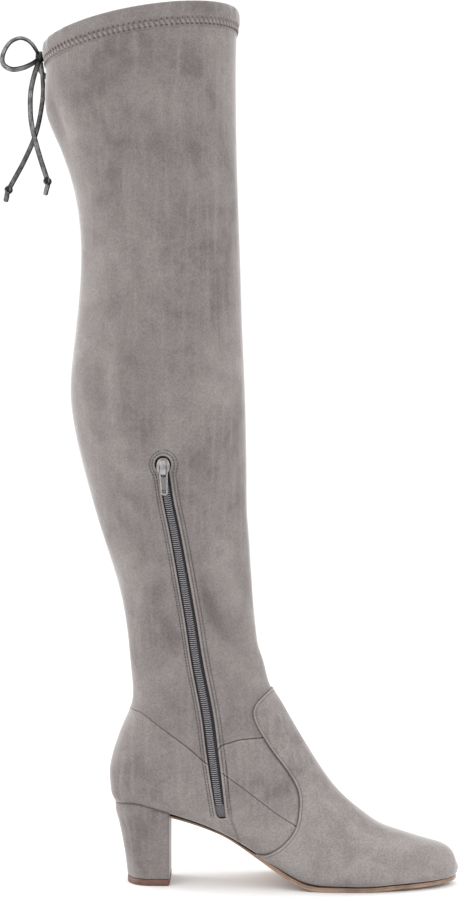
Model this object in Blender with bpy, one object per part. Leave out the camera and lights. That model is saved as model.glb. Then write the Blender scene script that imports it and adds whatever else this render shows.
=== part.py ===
# Thigh high boot for the left foot: suede upper and shaft, block heel, thin sole, inner side zip and a
# drawstring bow at the back of the collar. Metres, +Z up, +X to the toe, -Y is the inner (zip) side.
# The origin is the middle of the heel's tread, on the floor.

import math

import bmesh
import bpy
from mathutils import Matrix, Vector
from mathutils.bvhtree import BVHTree

# Foot and last. The length runs from the heel's back to the toe, without the vamp overlay.
FOOT_LENGTH = 0.2524
HEEL_BACK_X = -0.0290
BALL_WIDTH = 0.0808
INSTEP_HEIGHT = 0.1000
HEEL_HEIGHT = 0.0560

# Leg. Its height runs from the heel seat to the back of the collar.
LEG_HEIGHT = 0.5535
LEG_AXIS_X = 0.0200
ANKLE_DEPTH = 0.0880
CALF_DEPTH = 0.1260
THIGH_DEPTH = 0.1400
ANKLE_WIDTH = 0.0670
CALF_WIDTH = 0.1056
THIGH_WIDTH = 0.1200
COLLAR_RISE = 0.0248
COLLAR_CROWN = 0.0023

# Walls, layers and the gap that neighbouring pieces keep.
UPPER_WALL = 0.0018
VAMP_THICKNESS = 0.0010
CASING_THICKNESS = 0.0011
CASING_HEIGHT = 0.0170
INSOLE_THICKNESS = 0.0025
LASTING_MARGIN = 0.0130
CLEARANCE = 0.0003

# Places along the foot where the opening inside the lasting margin starts and ends, and how far the insole's
# outline reaches past heel and toe.
LASTING_START = 0.065
LASTING_END = 0.925
INSOLE_REACH = 0.02

# Sole and heel.
SOLE_THICKNESS = 0.0032
SOLE_GROOVE = 0.00035
HEEL_TOP_WIDTH = 0.0480
HEEL_BOTTOM_WIDTH = 0.0390
HEEL_BREAST_X = 0.0155
HEEL_BOTTOM_BACK_X = -0.0156
LIFT_THICKNESS = 0.0046

# Zip. The slot opens wider towards its foot and round the slider.
ZIP_SLOT_WIDTH = 0.0073
ZIP_FOOT_WIDTH = 0.0089
ZIP_HEAD_WIDTH = 0.0116
ZIP_HEAD_LENGTH = 0.0130
TAPE_WIDTH = 0.0190
TAPE_THICKNESS = 0.0007
TAPE_END = 0.0010
COIL_WIDTH = 0.0048
COIL_SINK = 0.0005
SLIDER_WIDTH = 0.0078
SLIDER_LENGTH = 0.0098
SLIDER_THICKNESS = 0.0026
BRIDGE_RADIUS = 0.0018
BRIDGE_WIDTH = 0.0013
BRIDGE_HOLE_RADIUS = 0.0009
PULL_LENGTH = 0.0202
PULL_TOP_WIDTH = 0.0066
PULL_END_WIDTH = 0.0044
PULL_THICKNESS = 0.0012
PULL_BAR_RADIUS = 0.00055
PULL_LEAN = 0.0010

# Drawstring.
CORD_DIAMETER = 0.0034
KNOT_DEPTH = 0.0074
KNOT_WIDTH = 0.0094
KNOT_HEIGHT = 0.0088
KNOT_SINK = 0.00055
TIP_KNOT_DIAMETER = 0.0062
CORD_EXIT_WIDTH = 0.0070
CORD_EXIT_HEIGHT = 0.0046

RING_POINTS = 26
COLLAR_STEPS = 8
SEAM_CHANGE = 0.0010
FAR = 0.4

# Sole line from heel back to toe. Columns: place along the foot, height of the sole's bottom as a share of
# HEEL_HEIGHT, thickness of its edge and rise of the upper's underside as shares of SOLE_THICKNESS.
SOLE_LINE = [
    (0.000, 1.010, 0.47, 0.56),
    (0.075, 0.970, 0.47, 0.56),
    (0.134, 0.927, 0.47, 0.56),
    (0.178, 0.882, 0.47, 0.56),
    (0.262, 0.762, 0.47, 0.56),
    (0.333, 0.630, 0.47, 0.56),
    (0.386, 0.488, 0.50, 0.65),
    (0.430, 0.360, 0.82, 0.86),
    (0.482, 0.216, 1.05, 1.15),
    (0.536, 0.077, 1.08, 1.24),
    (0.572, 0.018, 1.05, 1.26),
    (0.607, 0.000, 1.00, 1.26),
    (0.740, 0.000, 0.98, 1.26),
    (0.815, 0.021, 0.94, 1.25),
    (0.905, 0.036, 0.90, 1.22),
    (1.000, 0.070, 0.86, 1.15),
]

# Outline of the sole. Columns: place along the foot, inner and outer half width as shares of BALL_WIDTH.
SOLE_OUTLINE = [
    (0.178, 0.266, 0.266),
    (0.234, 0.241, 0.260),
    (0.305, 0.229, 0.279),
    (0.368, 0.242, 0.322),
    (0.432, 0.297, 0.372),
    (0.499, 0.384, 0.428),
    (0.570, 0.446, 0.462),
    (0.650, 0.471, 0.473),
    (0.717, 0.471, 0.456),
    (0.780, 0.450, 0.411),
    (0.840, 0.409, 0.347),
    (0.895, 0.351, 0.268),
    (0.939, 0.285, 0.186),
    (0.971, 0.220, 0.099),
    (0.990, 0.155, 0.013),
    (0.998, 0.093, -0.047),
]

# Sections of the foot, each a ring from the sole up to the top line. Columns: place of its lowest and of
# its highest point along the foot, its height over the underside as a share of INSTEP_HEIGHT, its half
# width as a share of half BALL_WIDTH, side shift of bottom and top as shares of BALL_WIDTH (minus is the
# inner side), where it is widest, and how square it is at the sole and at the top.
FOOT_ROWS = [
    (0.9920, 0.9945, 0.085, 0.136, -0.068, -0.068, 0.47, 3.0, 2.3),
    (0.9845, 0.9860, 0.146, 0.262, -0.067, -0.068, 0.45, 3.6, 2.3),
    (0.9670, 0.9670, 0.194, 0.400, -0.062, -0.066, 0.42, 4.4, 2.3),
    (0.9350, 0.9350, 0.227, 0.540, -0.055, -0.062, 0.39, 5.0, 2.3),
    (0.8875, 0.8895, 0.262, 0.685, -0.043, -0.056, 0.36, 5.6, 2.3),
    (0.8200, 0.8320, 0.309, 0.846, -0.028, -0.048, 0.33, 6.2, 2.3),
    (0.7530, 0.7805, 0.369, 0.946, -0.014, -0.040, 0.31, 6.5, 2.2),
    (0.6890, 0.7330, 0.451, 0.996, -0.003, -0.034, 0.30, 6.5, 2.1),
    (0.6260, 0.6874, 0.546, 0.996, 0.004, -0.028, 0.30, 6.4, 2.1),
    (0.5626, 0.6420, 0.650, 0.952, 0.009, -0.022, 0.31, 6.0, 2.1),
    (0.4950, 0.5960, 0.729, 0.894, 0.012, -0.016, 0.33, 5.6, 2.1),
    (0.4240, 0.5567, 0.790, 0.846, 0.012, -0.011, 0.36, 5.3, 2.1),
    (0.3526, 0.5210, 0.837, 0.818, 0.009, -0.007, 0.39, 5.1, 2.1),
    (0.2813, 0.4905, 0.887, 0.806, 0.006, -0.004, 0.42, 5.0, 2.1),
    (0.2100, 0.4660, 0.929, 0.801, 0.003, -0.002, 0.44, 5.0, 2.1),
    (0.1387, 0.4513, 1.005, 0.799, 0.000, 0.000, 0.46, 4.8, 2.1),
    (0.0753, 0.4398, 1.083, 0.797, 0.000, 0.000, 0.48, 4.2, 2.1),
]

# Sections from the heel's back up the leg. Columns: height of the back and of the front point over the
# heel seat as shares of LEG_HEIGHT, the depth that the row follows, the reach to the front and to the back
# of LEG_AXIS_X as shares of it, the width that the row follows and its share, where it is widest, and how
# square it is at the back and at the front.
LEG_ROWS = [
    (0.0065, 0.2078, ANKLE_DEPTH, 0.685, 0.507, ANKLE_WIDTH, 0.961, 0.49, 2.9, 2.1),
    (0.0271, 0.2204, ANKLE_DEPTH, 0.670, 0.550, ANKLE_WIDTH, 0.961, 0.50, 2.4, 2.1),
    (0.0506, 0.2349, ANKLE_DEPTH, 0.655, 0.552, ANKLE_WIDTH, 0.961, 0.50, 2.2, 2.1),
    (0.0831, 0.2529, ANKLE_DEPTH, 0.642, 0.499, ANKLE_WIDTH, 0.967, 0.50, 2.1, 2.1),
    (0.1111, 0.2710, ANKLE_DEPTH, 0.637, 0.430, ANKLE_WIDTH, 0.979, 0.49, 2.1, 2.1),
    (0.1355, 0.2891, ANKLE_DEPTH, 0.627, 0.370, ANKLE_WIDTH, 0.994, 0.48, 2.1, 2.1),
    (0.1734, 0.3107, ANKLE_DEPTH, 0.616, 0.374, ANKLE_WIDTH, 1.027, 0.48, 2.1, 2.1),
    (0.2204, 0.3433, ANKLE_DEPTH, 0.604, 0.402, ANKLE_WIDTH, 1.090, 0.48, 2.1, 2.1),
    (0.2836, 0.3830, CALF_DEPTH, 0.409, 0.328, CALF_WIDTH, 0.758, 0.48, 2.1, 2.1),
    (0.3469, 0.4264, CALF_DEPTH, 0.406, 0.414, CALF_WIDTH, 0.843, 0.48, 2.1, 2.1),
    (0.4155, 0.4733, CALF_DEPTH, 0.404, 0.504, CALF_WIDTH, 0.924, 0.47, 2.1, 2.1),
    (0.4806, 0.5221, CALF_DEPTH, 0.399, 0.575, CALF_WIDTH, 0.981, 0.47, 2.1, 2.1),
    (0.5366, 0.5673, CALF_DEPTH, 0.392, 0.611, CALF_WIDTH, 1.000, 0.47, 2.1, 2.1),
    (0.5818, 0.6125, CALF_DEPTH, 0.383, 0.602, CALF_WIDTH, 0.996, 0.47, 2.1, 2.1),
    (0.6540, 0.6829, CALF_DEPTH, 0.373, 0.568, CALF_WIDTH, 0.970, 0.47, 2.1, 2.1),
    (0.7425, 0.7733, CALF_DEPTH, 0.360, 0.554, CALF_WIDTH, 0.962, 0.48, 2.1, 2.1),
    (0.8130, 0.8437, THIGH_DEPTH, 0.315, 0.538, THIGH_WIDTH, 0.875, 0.48, 2.1, 2.1),
    (0.8708, 0.9015, THIGH_DEPTH, 0.311, 0.618, THIGH_WIDTH, 0.925, 0.48, 2.1, 2.1),
    (0.9106, 0.9431, THIGH_DEPTH, 0.310, 0.677, THIGH_WIDTH, 0.963, 0.48, 2.1, 2.1),
    (0.9557, 0.9882, THIGH_DEPTH, 0.311, 0.680, THIGH_WIDTH, 0.987, 0.48, 2.1, 2.1),
    (1.0000, 1.0000, THIGH_DEPTH, 0.316, 0.686, THIGH_WIDTH, 1.000, 0.48, 2.1, 2.1),
]

# Edge between shaft and upper. Columns: place along the foot and height over the underside as a share of
# INSTEP_HEIGHT, first on the inner and then on the outer side. Its last five rows run hidden under the vamp.
SHAFT_EDGE = [
    (-0.150, 0.770, -0.150, 0.770),
    (0.067, 0.707, 0.067, 0.707),
    (0.100, 0.704, 0.100, 0.704),
    (0.132, 0.662, 0.132, 0.662),
    (0.196, 0.584, 0.196, 0.584),
    (0.239, 0.537, 0.239, 0.537),
    (0.297, 0.482, 0.281, 0.492),
    (0.321, 0.635, 0.340, 0.431),
    (0.350, 0.702, 0.391, 0.416),
    (0.380, 0.768, 0.442, 0.398),
    (0.410, 0.820, 0.492, 0.405),
    (0.442, 0.872, 0.527, 0.500),
    (0.455, 0.910, 0.523, 0.674),
    (0.467, 0.960, 0.495, 0.810),
    (0.479, 1.017, 0.479, 0.957),
    (0.560, 1.230, 0.560, 1.230),
]

# Edge of the vamp overlay, from its throat tab at the front of the ankle down to the sole at the waist.
VAMP_EDGE = [
    (0.520, 1.330),
    (0.478, 1.248),
    (0.463, 1.220),
    (0.437, 1.136),
    (0.420, 1.064),
    (0.414, 1.000),
    (0.422, 0.941),
    (0.442, 0.879),
    (0.473, 0.804),
    (0.504, 0.747),
    (0.532, 0.679),
    (0.545, 0.608),
    (0.546, 0.520),
    (0.539, 0.395),
    (0.519, 0.278),
    (0.488, 0.156),
    (0.453, 0.060),
    (0.420, -0.008),
    (0.400, -0.200),
]

# Middle of the zip, from its square foot to its round head. Columns: reach to the front of LEG_AXIS_X as a
# share of ANKLE_DEPTH and height over the heel seat as a share of LEG_HEIGHT.
ZIP_LINE = [
    (0.378, -0.0085),
    (0.310, 0.0708),
    (0.265, 0.1248),
    (0.186, 0.1901),
    (0.130, 0.2482),
    (0.064, 0.3100),
    (0.008, 0.3608),
    (-0.048, 0.4056),
    (-0.093, 0.4585),
]

# Block heel. Columns: height as a share of HEEL_HEIGHT, how far its back lies behind the tread's back as a
# share of HEEL_BOTTOM_WIDTH, and how much of the change to HEEL_TOP_WIDTH has taken place.
HEEL_ROWS = [
    (0.000, 0.000, 0.00),
    (0.320, 0.056, 0.10),
    (0.540, 0.108, 0.30),
    (0.750, 0.168, 0.60),
    (0.930, 0.228, 0.92),
    (1.120, 0.241, 1.00),
]

# Routes of the cord in metres: behind LEG_AXIS_X, to the side and up from the heel seat, chosen by hand.
NEAR_LOOP = [
    (-0.1060, -0.0060, 0.5545),
    (-0.1120, -0.0082, 0.5566),
    (-0.1185, -0.0094, 0.5542),
    (-0.1236, -0.0100, 0.5490),
    (-0.1260, -0.0100, 0.5422),
    (-0.1240, -0.0098, 0.5358),
    (-0.1180, -0.0086, 0.5344),
    (-0.1124, -0.0064, 0.5378),
    (-0.1085, -0.0034, 0.5434),
]
FAR_LOOP = [
    (-0.1026, 0.0084, 0.5488),
    (-0.1008, 0.0140, 0.5506),
    (-0.0982, 0.0220, 0.5500),
    (-0.0944, 0.0300, 0.5468),
    (-0.0914, 0.0358, 0.5412),
    (-0.0924, 0.0348, 0.5354),
    (-0.0958, 0.0280, 0.5322),
    (-0.0992, 0.0192, 0.5332),
    (-0.1020, 0.0128, 0.5368),
    (-0.1034, 0.0078, 0.5414),
]
NEAR_TAIL = [
    (-0.1030, -0.0058, 0.5325),
    (-0.1058, -0.0062, 0.5196),
    (-0.1062, -0.0068, 0.5074),
    (-0.1054, -0.0070, 0.4964),
    (-0.1028, -0.0070, 0.4840),
    (-0.0988, -0.0068, 0.4698),
]
NEAR_TIP_KNOT = (-0.0937, -0.0066, 0.4535)
NEAR_TIP = [
    (-0.0944, -0.0066, 0.4472),
    (-0.0956, -0.0066, 0.4424),
]
FAR_TAIL = [
    (-0.1000, 0.0062, 0.5325),
    (-0.0998, 0.0066, 0.5180),
    (-0.1016, 0.0068, 0.5000),
    (-0.1038, 0.0066, 0.4902),
    (-0.1078, 0.0062, 0.4800),
    (-0.1142, 0.0056, 0.4664),
]
FAR_TIP_KNOT = (-0.1236, 0.0050, 0.4490)
FAR_TIP = [
    (-0.1252, 0.0050, 0.4432),
    (-0.1264, 0.0050, 0.4386),
]


def clear_scene():
    for item in list(bpy.data.objects):
        bpy.data.objects.remove(item, do_unlink=True)


def make_material(name, color, roughness, metallic=0.0):
    material = bpy.data.materials.new(name)
    material.use_nodes = True
    shader = material.node_tree.nodes["Principled BSDF"]
    shader.inputs["Base Color"].default_value = (*color, 1.0)
    shader.inputs["Roughness"].default_value = roughness
    shader.inputs["Metallic"].default_value = metallic
    return material


def make_object(name, build, material=None, smooth_angle=40):
    # The bmesh is closed, so its faces can be turned outward before it becomes the object's mesh.
    bmesh.ops.recalc_face_normals(build, faces=build.faces)
    mesh = bpy.data.meshes.new(name)
    build.to_mesh(mesh)
    build.free()
    mesh.shade_smooth()
    mesh.set_sharp_from_angle(angle=math.radians(smooth_angle))
    item = bpy.data.objects.new(name, mesh)
    bpy.context.collection.objects.link(item)
    if material:
        mesh.materials.append(material)
    return item


def make_cutter(name, build):
    item = make_object(name, build)
    item.hide_render = True
    item.display_type = "WIRE"
    return item


def combine(item, cutter, operation):
    step = item.modifiers.new(operation.title() + " " + cutter.name, "BOOLEAN")
    step.operation = operation
    step.solver = "EXACT"
    step.object = cutter


def smooth_value(keys, values, place):
    # Cubic through the rows that never overshoots them: flat stretches stay flat.
    place = min(max(place, keys[0]), keys[-1])
    index = 0
    while index < len(keys) - 2 and place > keys[index + 1]:
        index += 1

    def slope(number):
        return (values[number + 1] - values[number]) / (keys[number + 1] - keys[number])

    def tangent(number):
        if number == 0:
            return slope(0)
        if number == len(keys) - 1:
            return slope(number - 1)
        before = slope(number - 1)
        after = slope(number)
        if before * after <= 0.0:
            return 0.0
        return 2.0 * before * after / (before + after)

    width = keys[index + 1] - keys[index]
    share = (place - keys[index]) / width
    rest = 1.0 - share
    return (
        values[index] * (1.0 + 2.0 * share) * rest * rest
        + values[index + 1] * (3.0 - 2.0 * share) * share * share
        + tangent(index) * width * share * rest * rest
        - tangent(index + 1) * width * share * share * rest
    )


def read_table(table, column, place):
    keys = [row[0] for row in table]
    values = [row[column] for row in table]
    return smooth_value(keys, values, place)


def foot_x(place):
    return HEEL_BACK_X + place * FOOT_LENGTH


def sole_bottom(place):
    return HEEL_HEIGHT * read_table(SOLE_LINE, 1, place)


def sole_edge(place):
    return SOLE_THICKNESS * read_table(SOLE_LINE, 2, place)


def underside(place):
    return sole_bottom(place) + SOLE_THICKNESS * read_table(SOLE_LINE, 3, place)


def foot_line(table, shift=0.0):
    # A line on the side of the foot, moved square to its own run by the shift.
    line = [Vector((foot_x(place), underside(place) + rise * INSTEP_HEIGHT)) for place, rise in table]
    moved = []
    for index, point in enumerate(line):
        before = line[max(index - 1, 0)]
        after = line[min(index + 1, len(line) - 1)]
        run = (after - before).normalized()
        moved.append((point.x - run.y * shift, point.y + run.x * shift))
    return moved


def section_rows():
    # Each row becomes the ring's lowest (or back) point, its top (or front) point and its shape.
    rows = []
    for low, high, height, width, low_side, high_side, widest, low_square, high_square in FOOT_ROWS:
        seat = underside(low)
        rows.append((
            foot_x(low), seat, foot_x(high), seat + height * INSTEP_HEIGHT,
            width * BALL_WIDTH / 2.0, low_side * BALL_WIDTH, high_side * BALL_WIDTH,
            widest, low_square, high_square,
        ))
    for row in LEG_ROWS:
        back_up, front_up, depth, front, back, wide, share, widest, back_square, front_square = row
        front_lift = COLLAR_RISE if row is LEG_ROWS[-1] else 0.0
        rows.append((
            LEG_AXIS_X - back * depth, HEEL_HEIGHT + back_up * LEG_HEIGHT,
            LEG_AXIS_X + front * depth, HEEL_HEIGHT + front_up * LEG_HEIGHT + front_lift,
            share * wide / 2.0, 0.0, 0.0, widest, back_square, front_square,
        ))
    return rows


def section_ring(row, crown=0.0):
    # A crown lifts the ring's middle over the straight line between its two ends.
    low_x, low_z, high_x, high_z, half, low_side, high_side, widest, low_square, high_square = row
    ring = []
    for number in range(RING_POINTS):
        angle = 2.0 * math.pi * number / RING_POINTS
        below = math.cos(angle) > 0.0
        power = 2.0 / (low_square if below else high_square)
        along = abs(math.cos(angle)) ** power
        share = widest * (1.0 - along) if below else widest + (1.0 - widest) * along
        out = math.copysign(abs(math.sin(angle)) ** power, math.sin(angle))
        ring.append(Vector((
            low_x + (high_x - low_x) * share,
            low_side + (high_side - low_side) * share + half * out,
            low_z + (high_z - low_z) * share + crown * math.sin(math.pi * share),
        )))
    return ring


def bridge(build, rings):
    # Triangles that always split the same way, so that two offsets of one form stay parallel.
    for first, second in zip(rings, rings[1:]):
        count = len(first)
        for number in range(count):
            after = (number + 1) % count
            build.faces.new((first[number], second[number], second[after]))
            build.faces.new((first[number], second[after], first[after]))


def lid(build, ring):
    # Strips from side to side, so that a crowned opening is closed by one even arch.
    count = len(ring)
    build.faces.new((ring[0], ring[1], ring[-1]))
    for number in range(1, (count - 1) // 2):
        build.faces.new((ring[number], ring[number + 1], ring[count - number - 1], ring[count - number]))
    middle = (count - 1) // 2
    if count % 2 == 0:
        build.faces.new((ring[middle], ring[middle + 1], ring[middle + 2]))


def boot_form(offset=0.0, overshoot=0.0):
    # The last's outer form, grown by the offset, closed at the toe and with a lid at the collar.
    build = bmesh.new()
    rows = section_rows()
    outlines = [section_ring(row) for row in rows[:-1]] + [section_ring(rows[-1], COLLAR_CROWN)]
    rings = [[build.verts.new(point) for point in outline] for outline in outlines]
    bridge(build, rings)
    toe_row = rows[0]
    toe = Vector((HEEL_BACK_X + FOOT_LENGTH, toe_row[5], (toe_row[1] + toe_row[3]) / 2.0))
    pole = build.verts.new(toe)
    count = len(rings[0])
    for number in range(count):
        build.faces.new((rings[0][number], rings[0][(number + 1) % count], pole))
    bmesh.ops.recalc_face_normals(build, faces=build.faces)
    build.normal_update()
    if build.faces[0].normal.dot(build.faces[0].calc_center_median() - Vector((0.1, 0.0, 0.05))) < 0.0:
        bmesh.ops.reverse_faces(build, faces=build.faces)
        build.normal_update()
    moves = [(vertex, vertex.normal * offset) for vertex in build.verts]
    for vertex, move in moves:
        vertex.co += move
    if overshoot:
        lift = (rings[-1][0].co - rings[-2][0].co).normalized() * overshoot
        crown = [build.verts.new(vertex.co + lift) for vertex in rings[-1]]
        bridge(build, [rings[-1], crown])
        rings.append(crown)
    lid(build, rings[-1])
    return build


def prism(outline, near, far):
    # A closed outline in the side view, drawn out from near to far across the boot.
    build = bmesh.new()
    face = build.faces.new([build.verts.new((x, near, z)) for x, z in outline])
    drawn = bmesh.ops.extrude_face_region(build, geom=[face])
    moved = [item for item in drawn["geom"] if isinstance(item, bmesh.types.BMVert)]
    bmesh.ops.translate(build, verts=moved, vec=(0.0, far - near, 0.0))
    return build


def loft(rings):
    build = bmesh.new()
    made = [[build.verts.new(point) for point in ring] for ring in rings]
    bridge(build, made)
    build.faces.new(made[0])
    build.faces.new(made[-1])
    return build


def sole_places(first, last, steps):
    # Places along the foot, closer together towards the toe.
    places = []
    for number in range(steps + 1):
        share = math.sin(0.5 * math.pi * number / steps)
        places.append(first + (last - first) * share)
    return places


def shell(name, outer_offset, inner_offset, material):
    item = make_object(name, boot_form(outer_offset), material)
    hollow = make_cutter(name + "_hollow", boot_form(inner_offset, overshoot=0.03))
    combine(item, hollow, "DIFFERENCE")
    return item


def seam_cutter(name, shift, height):
    # Everything on one side of the shaft's edge. The inner side's line changes to the outer side's within
    # a seam's width of the middle plane, where both are the same.
    rings = []
    for side, column in ((-FAR, 0), (-SEAM_CHANGE, 0), (SEAM_CHANGE, 2), (FAR, 2)):
        line = foot_line([row[column:column + 2] for row in SHAFT_EDGE], shift)
        line += [(line[-1][0] + FAR, line[-1][1]), (line[-1][0] + FAR, height)]
        line += [(line[0][0] - FAR, height), (line[0][0] - FAR, line[0][1])]
        rings.append([Vector((x, side, z)) for x, z in line])
    return make_cutter(name, loft(rings))


def zip_points():
    points = []
    for front, up in ZIP_LINE:
        points.append(Vector((LEG_AXIS_X + front * ANKLE_DEPTH, HEEL_HEIGHT + up * LEG_HEIGHT)))
    return points


def zip_strip(half_width, end_gap, foot_half=None, head_half=None):
    # Outline of a strip along the zip: square at the foot, and round and wider at the head of the slot.
    points = zip_points()
    left = []
    right = []
    for index, point in enumerate(points):
        before = points[max(index - 1, 0)]
        after = points[min(index + 1, len(points) - 1)]
        run = (after - before).normalized()
        across = Vector((run.y, -run.x))
        if index == 0:
            point = point + run * end_gap
        if index == len(points) - 1:
            point = point - run * end_gap
            if head_half:
                point = point - run * ZIP_HEAD_LENGTH
        half = half_width
        if foot_half:
            half += (foot_half - half_width) * (1.0 - index / (len(points) - 1))
        left.append(point - across * half)
        right.append(point + across * half)
    if not head_half:
        return [tuple(point) for point in right + left[::-1]]
    middle = points[-1] - run * head_half
    arc = []
    for number in range(9):
        angle = math.pi * number / 8
        arc.append(middle + across * head_half * math.cos(angle) + run * head_half * math.sin(angle))
    shoulder = (left[-1] + right[-1]) / 2.0 + run * (head_half - half_width)
    arc.insert(0, shoulder + across * head_half)
    arc.append(shoulder - across * head_half)
    return [tuple(point) for point in right + arc + left[::-1]]


def make_lasting_opening():
    # The upper is turned in under the foot by the lasting margin; inside it the underside is open.
    rings = []
    for place in sole_places(LASTING_START, LASTING_END, 14):
        inner = read_table(SOLE_OUTLINE, 1, place) * BALL_WIDTH - LASTING_MARGIN
        outer = read_table(SOLE_OUTLINE, 2, place) * BALL_WIDTH - LASTING_MARGIN
        low = underside(place) - UPPER_WALL * 2.0
        high = underside(place) + UPPER_WALL * 1.6
        inner = max(inner, 0.004)
        outer = max(outer, -0.001)
        x = foot_x(place)
        rings.append([Vector((x, -inner, low)), Vector((x, outer, low)),
                      Vector((x, outer, high)), Vector((x, -inner, high))])
    return make_cutter("lasting_opening", loft(rings))


def make_upper_and_shaft(suede):
    outline = zip_strip(ZIP_SLOT_WIDTH / 2.0, 0.0, ZIP_FOOT_WIDTH / 2.0, ZIP_HEAD_WIDTH / 2.0)
    slot = make_cutter("zip_slot", prism(outline, -FAR, -ANKLE_WIDTH * 0.2))
    half_gap = CLEARANCE / 2.0
    upper = shell("upper", 0.0, -UPPER_WALL, suede)
    combine(upper, seam_cutter("above_shaft_edge", -half_gap, FAR * 2.0), "DIFFERENCE")
    combine(upper, slot, "DIFFERENCE")
    combine(upper, make_lasting_opening(), "DIFFERENCE")
    shaft = shell("shaft", 0.0, -UPPER_WALL, suede)
    combine(shaft, seam_cutter("below_shaft_edge", half_gap, -FAR), "DIFFERENCE")
    combine(shaft, slot, "DIFFERENCE")


def vamp_outline(shift):
    edge = foot_line(VAMP_EDGE, shift)
    return edge + [(edge[-1][0], -FAR), (FAR, -FAR), (FAR, edge[0][1])]


def make_vamp(suede):
    vamp = shell("vamp", CLEARANCE + VAMP_THICKNESS, CLEARANCE, suede)
    combine(vamp, make_cutter("vamp_region", prism(vamp_outline(0.0), -FAR, FAR)), "INTERSECT")
    combine(vamp, bpy.data.objects["lasting_opening"], "DIFFERENCE")


def collar_line(drop):
    # A line level with the collar, at this distance below it.
    rim = section_rows()[-1]
    lean = (rim[3] - rim[1]) / (rim[2] - rim[0])
    reach = THIGH_DEPTH
    line = [(rim[0] - reach, rim[1] - lean * reach - drop)]
    for number in range(COLLAR_STEPS + 1):
        share = number / COLLAR_STEPS
        rise = lean * (rim[2] - rim[0]) * share + COLLAR_CROWN * math.sin(math.pi * share)
        line.append((rim[0] + (rim[2] - rim[0]) * share, rim[1] + rise - drop))
    line.append((rim[2] + reach, rim[3] + lean * reach - drop))
    return line


def make_casing(suede):
    casing = shell("casing", CLEARANCE + CASING_THICKNESS, CLEARANCE, suede)
    line = collar_line(CASING_HEIGHT)
    region = line + [(line[-1][0], FAR * 2.0), (line[0][0], FAR * 2.0)]
    combine(casing, make_cutter("casing_region", prism(region, -FAR, FAR)), "INTERSECT")
    rim = section_rows()[-1]
    build = bmesh.new()
    bmesh.ops.create_cone(build, cap_ends=True, segments=12, radius1=0.5, radius2=0.5, depth=1.0)
    size = Matrix.Diagonal((CORD_EXIT_HEIGHT, CORD_EXIT_WIDTH, 0.03, 1.0))
    place = Matrix.Translation((rim[0], 0.0, rim[1] - CASING_HEIGHT / 2.0))
    turned = place @ Matrix.Rotation(math.pi / 2.0, 4, "Y") @ size
    bmesh.ops.transform(build, matrix=turned, verts=build.verts)
    combine(casing, make_cutter("cord_exit", build), "DIFFERENCE")


def sole_ring(place):
    # The edge has a rounded foot, a fine groove near its upper third and a straight top.
    inner = read_table(SOLE_OUTLINE, 1, place) * BALL_WIDTH
    outer = read_table(SOLE_OUTLINE, 2, place) * BALL_WIDTH
    low = sole_bottom(place)
    height = sole_edge(place)
    profile = ((0.00, 0.0006), (0.16, 0.0), (0.58, 0.0), (0.66, SOLE_GROOVE), (0.74, 0.0), (1.00, 0.0))
    x = foot_x(place)
    ring = [Vector((x, -inner + inset, low + share * height)) for share, inset in profile]
    ring += [Vector((x, outer - inset, low + share * height)) for share, inset in reversed(profile)]
    return ring


def make_sole(leather):
    breast = (HEEL_BREAST_X + CLEARANCE - HEEL_BACK_X) / FOOT_LENGTH
    rings = [sole_ring(place) for place in sole_places(breast, SOLE_OUTLINE[-1][0], 22)]
    sole = make_object("outsole", loft(rings), leather)
    seat = make_cutter("sole_seat", boot_form(CLEARANCE))
    lap = make_cutter("sole_seat_under_vamp", boot_form(2.0 * CLEARANCE + VAMP_THICKNESS))
    combine(lap, make_cutter("lap_region", prism(vamp_outline(-2.0 * CLEARANCE), -FAR, FAR)), "INTERSECT")
    combine(sole, seat, "DIFFERENCE")
    combine(sole, lap, "DIFFERENCE")


def make_insole(lining):
    insole = make_object("insole", boot_form(-UPPER_WALL - CLEARANCE), lining)
    top = []
    for number in range(25):
        place = -INSOLE_REACH + number * (1.0 + 2.0 * INSOLE_REACH) / 24
        top.append((foot_x(place), underside(place) + UPPER_WALL + CLEARANCE + INSOLE_THICKNESS))
    outline = top + [(top[-1][0], -FAR), (top[0][0], -FAR)]
    combine(insole, make_cutter("insole_region", prism(outline, -FAR, FAR)), "INTERSECT")


def heel_ring(back, half, height):
    # D-shaped section: flat breast, straight sides and a half round back.
    round_depth = half * 0.85
    ring = [Vector((HEEL_BREAST_X, -half, height))]
    for number in range(13):
        angle = math.pi * number / 12
        x = back + round_depth * (1.0 - math.sin(angle))
        ring.append(Vector((x, -half * math.cos(angle), height)))
    ring.append(Vector((HEEL_BREAST_X, half, height)))
    return ring


def make_heel(suede, leather):
    rings = []
    for up, back, widen in HEEL_ROWS:
        height = LIFT_THICKNESS + CLEARANCE + up * (HEEL_HEIGHT - LIFT_THICKNESS)
        half = (HEEL_BOTTOM_WIDTH + (HEEL_TOP_WIDTH - HEEL_BOTTOM_WIDTH) * widen) / 2.0
        rings.append(heel_ring(HEEL_BOTTOM_BACK_X - back * HEEL_BOTTOM_WIDTH, half, height))
    heel = make_object("heel", loft(rings), suede)
    combine(heel, bpy.data.objects["sole_seat"], "DIFFERENCE")
    half = HEEL_BOTTOM_WIDTH / 2.0
    lift = [heel_ring(HEEL_BOTTOM_BACK_X, half, height) for height in (0.0, LIFT_THICKNESS)]
    make_object("top_lift", loft(lift), leather)


def make_zip_band(name, outer_offset, inner_offset, half_width, end_gap, material):
    # A strip of the boot's own form, between two offsets, along the zip on the inner side.
    band = shell(name, outer_offset, inner_offset, material)
    region = make_cutter(name + "_region", prism(zip_strip(half_width, end_gap), -FAR, -ANKLE_WIDTH * 0.2))
    combine(band, region, "INTERSECT")


def box(build, size, centre):
    matrix = Matrix.Translation(centre) @ Matrix.Diagonal((*size, 1.0))
    return bmesh.ops.create_cube(build, size=1.0, matrix=matrix)["verts"]


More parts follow.
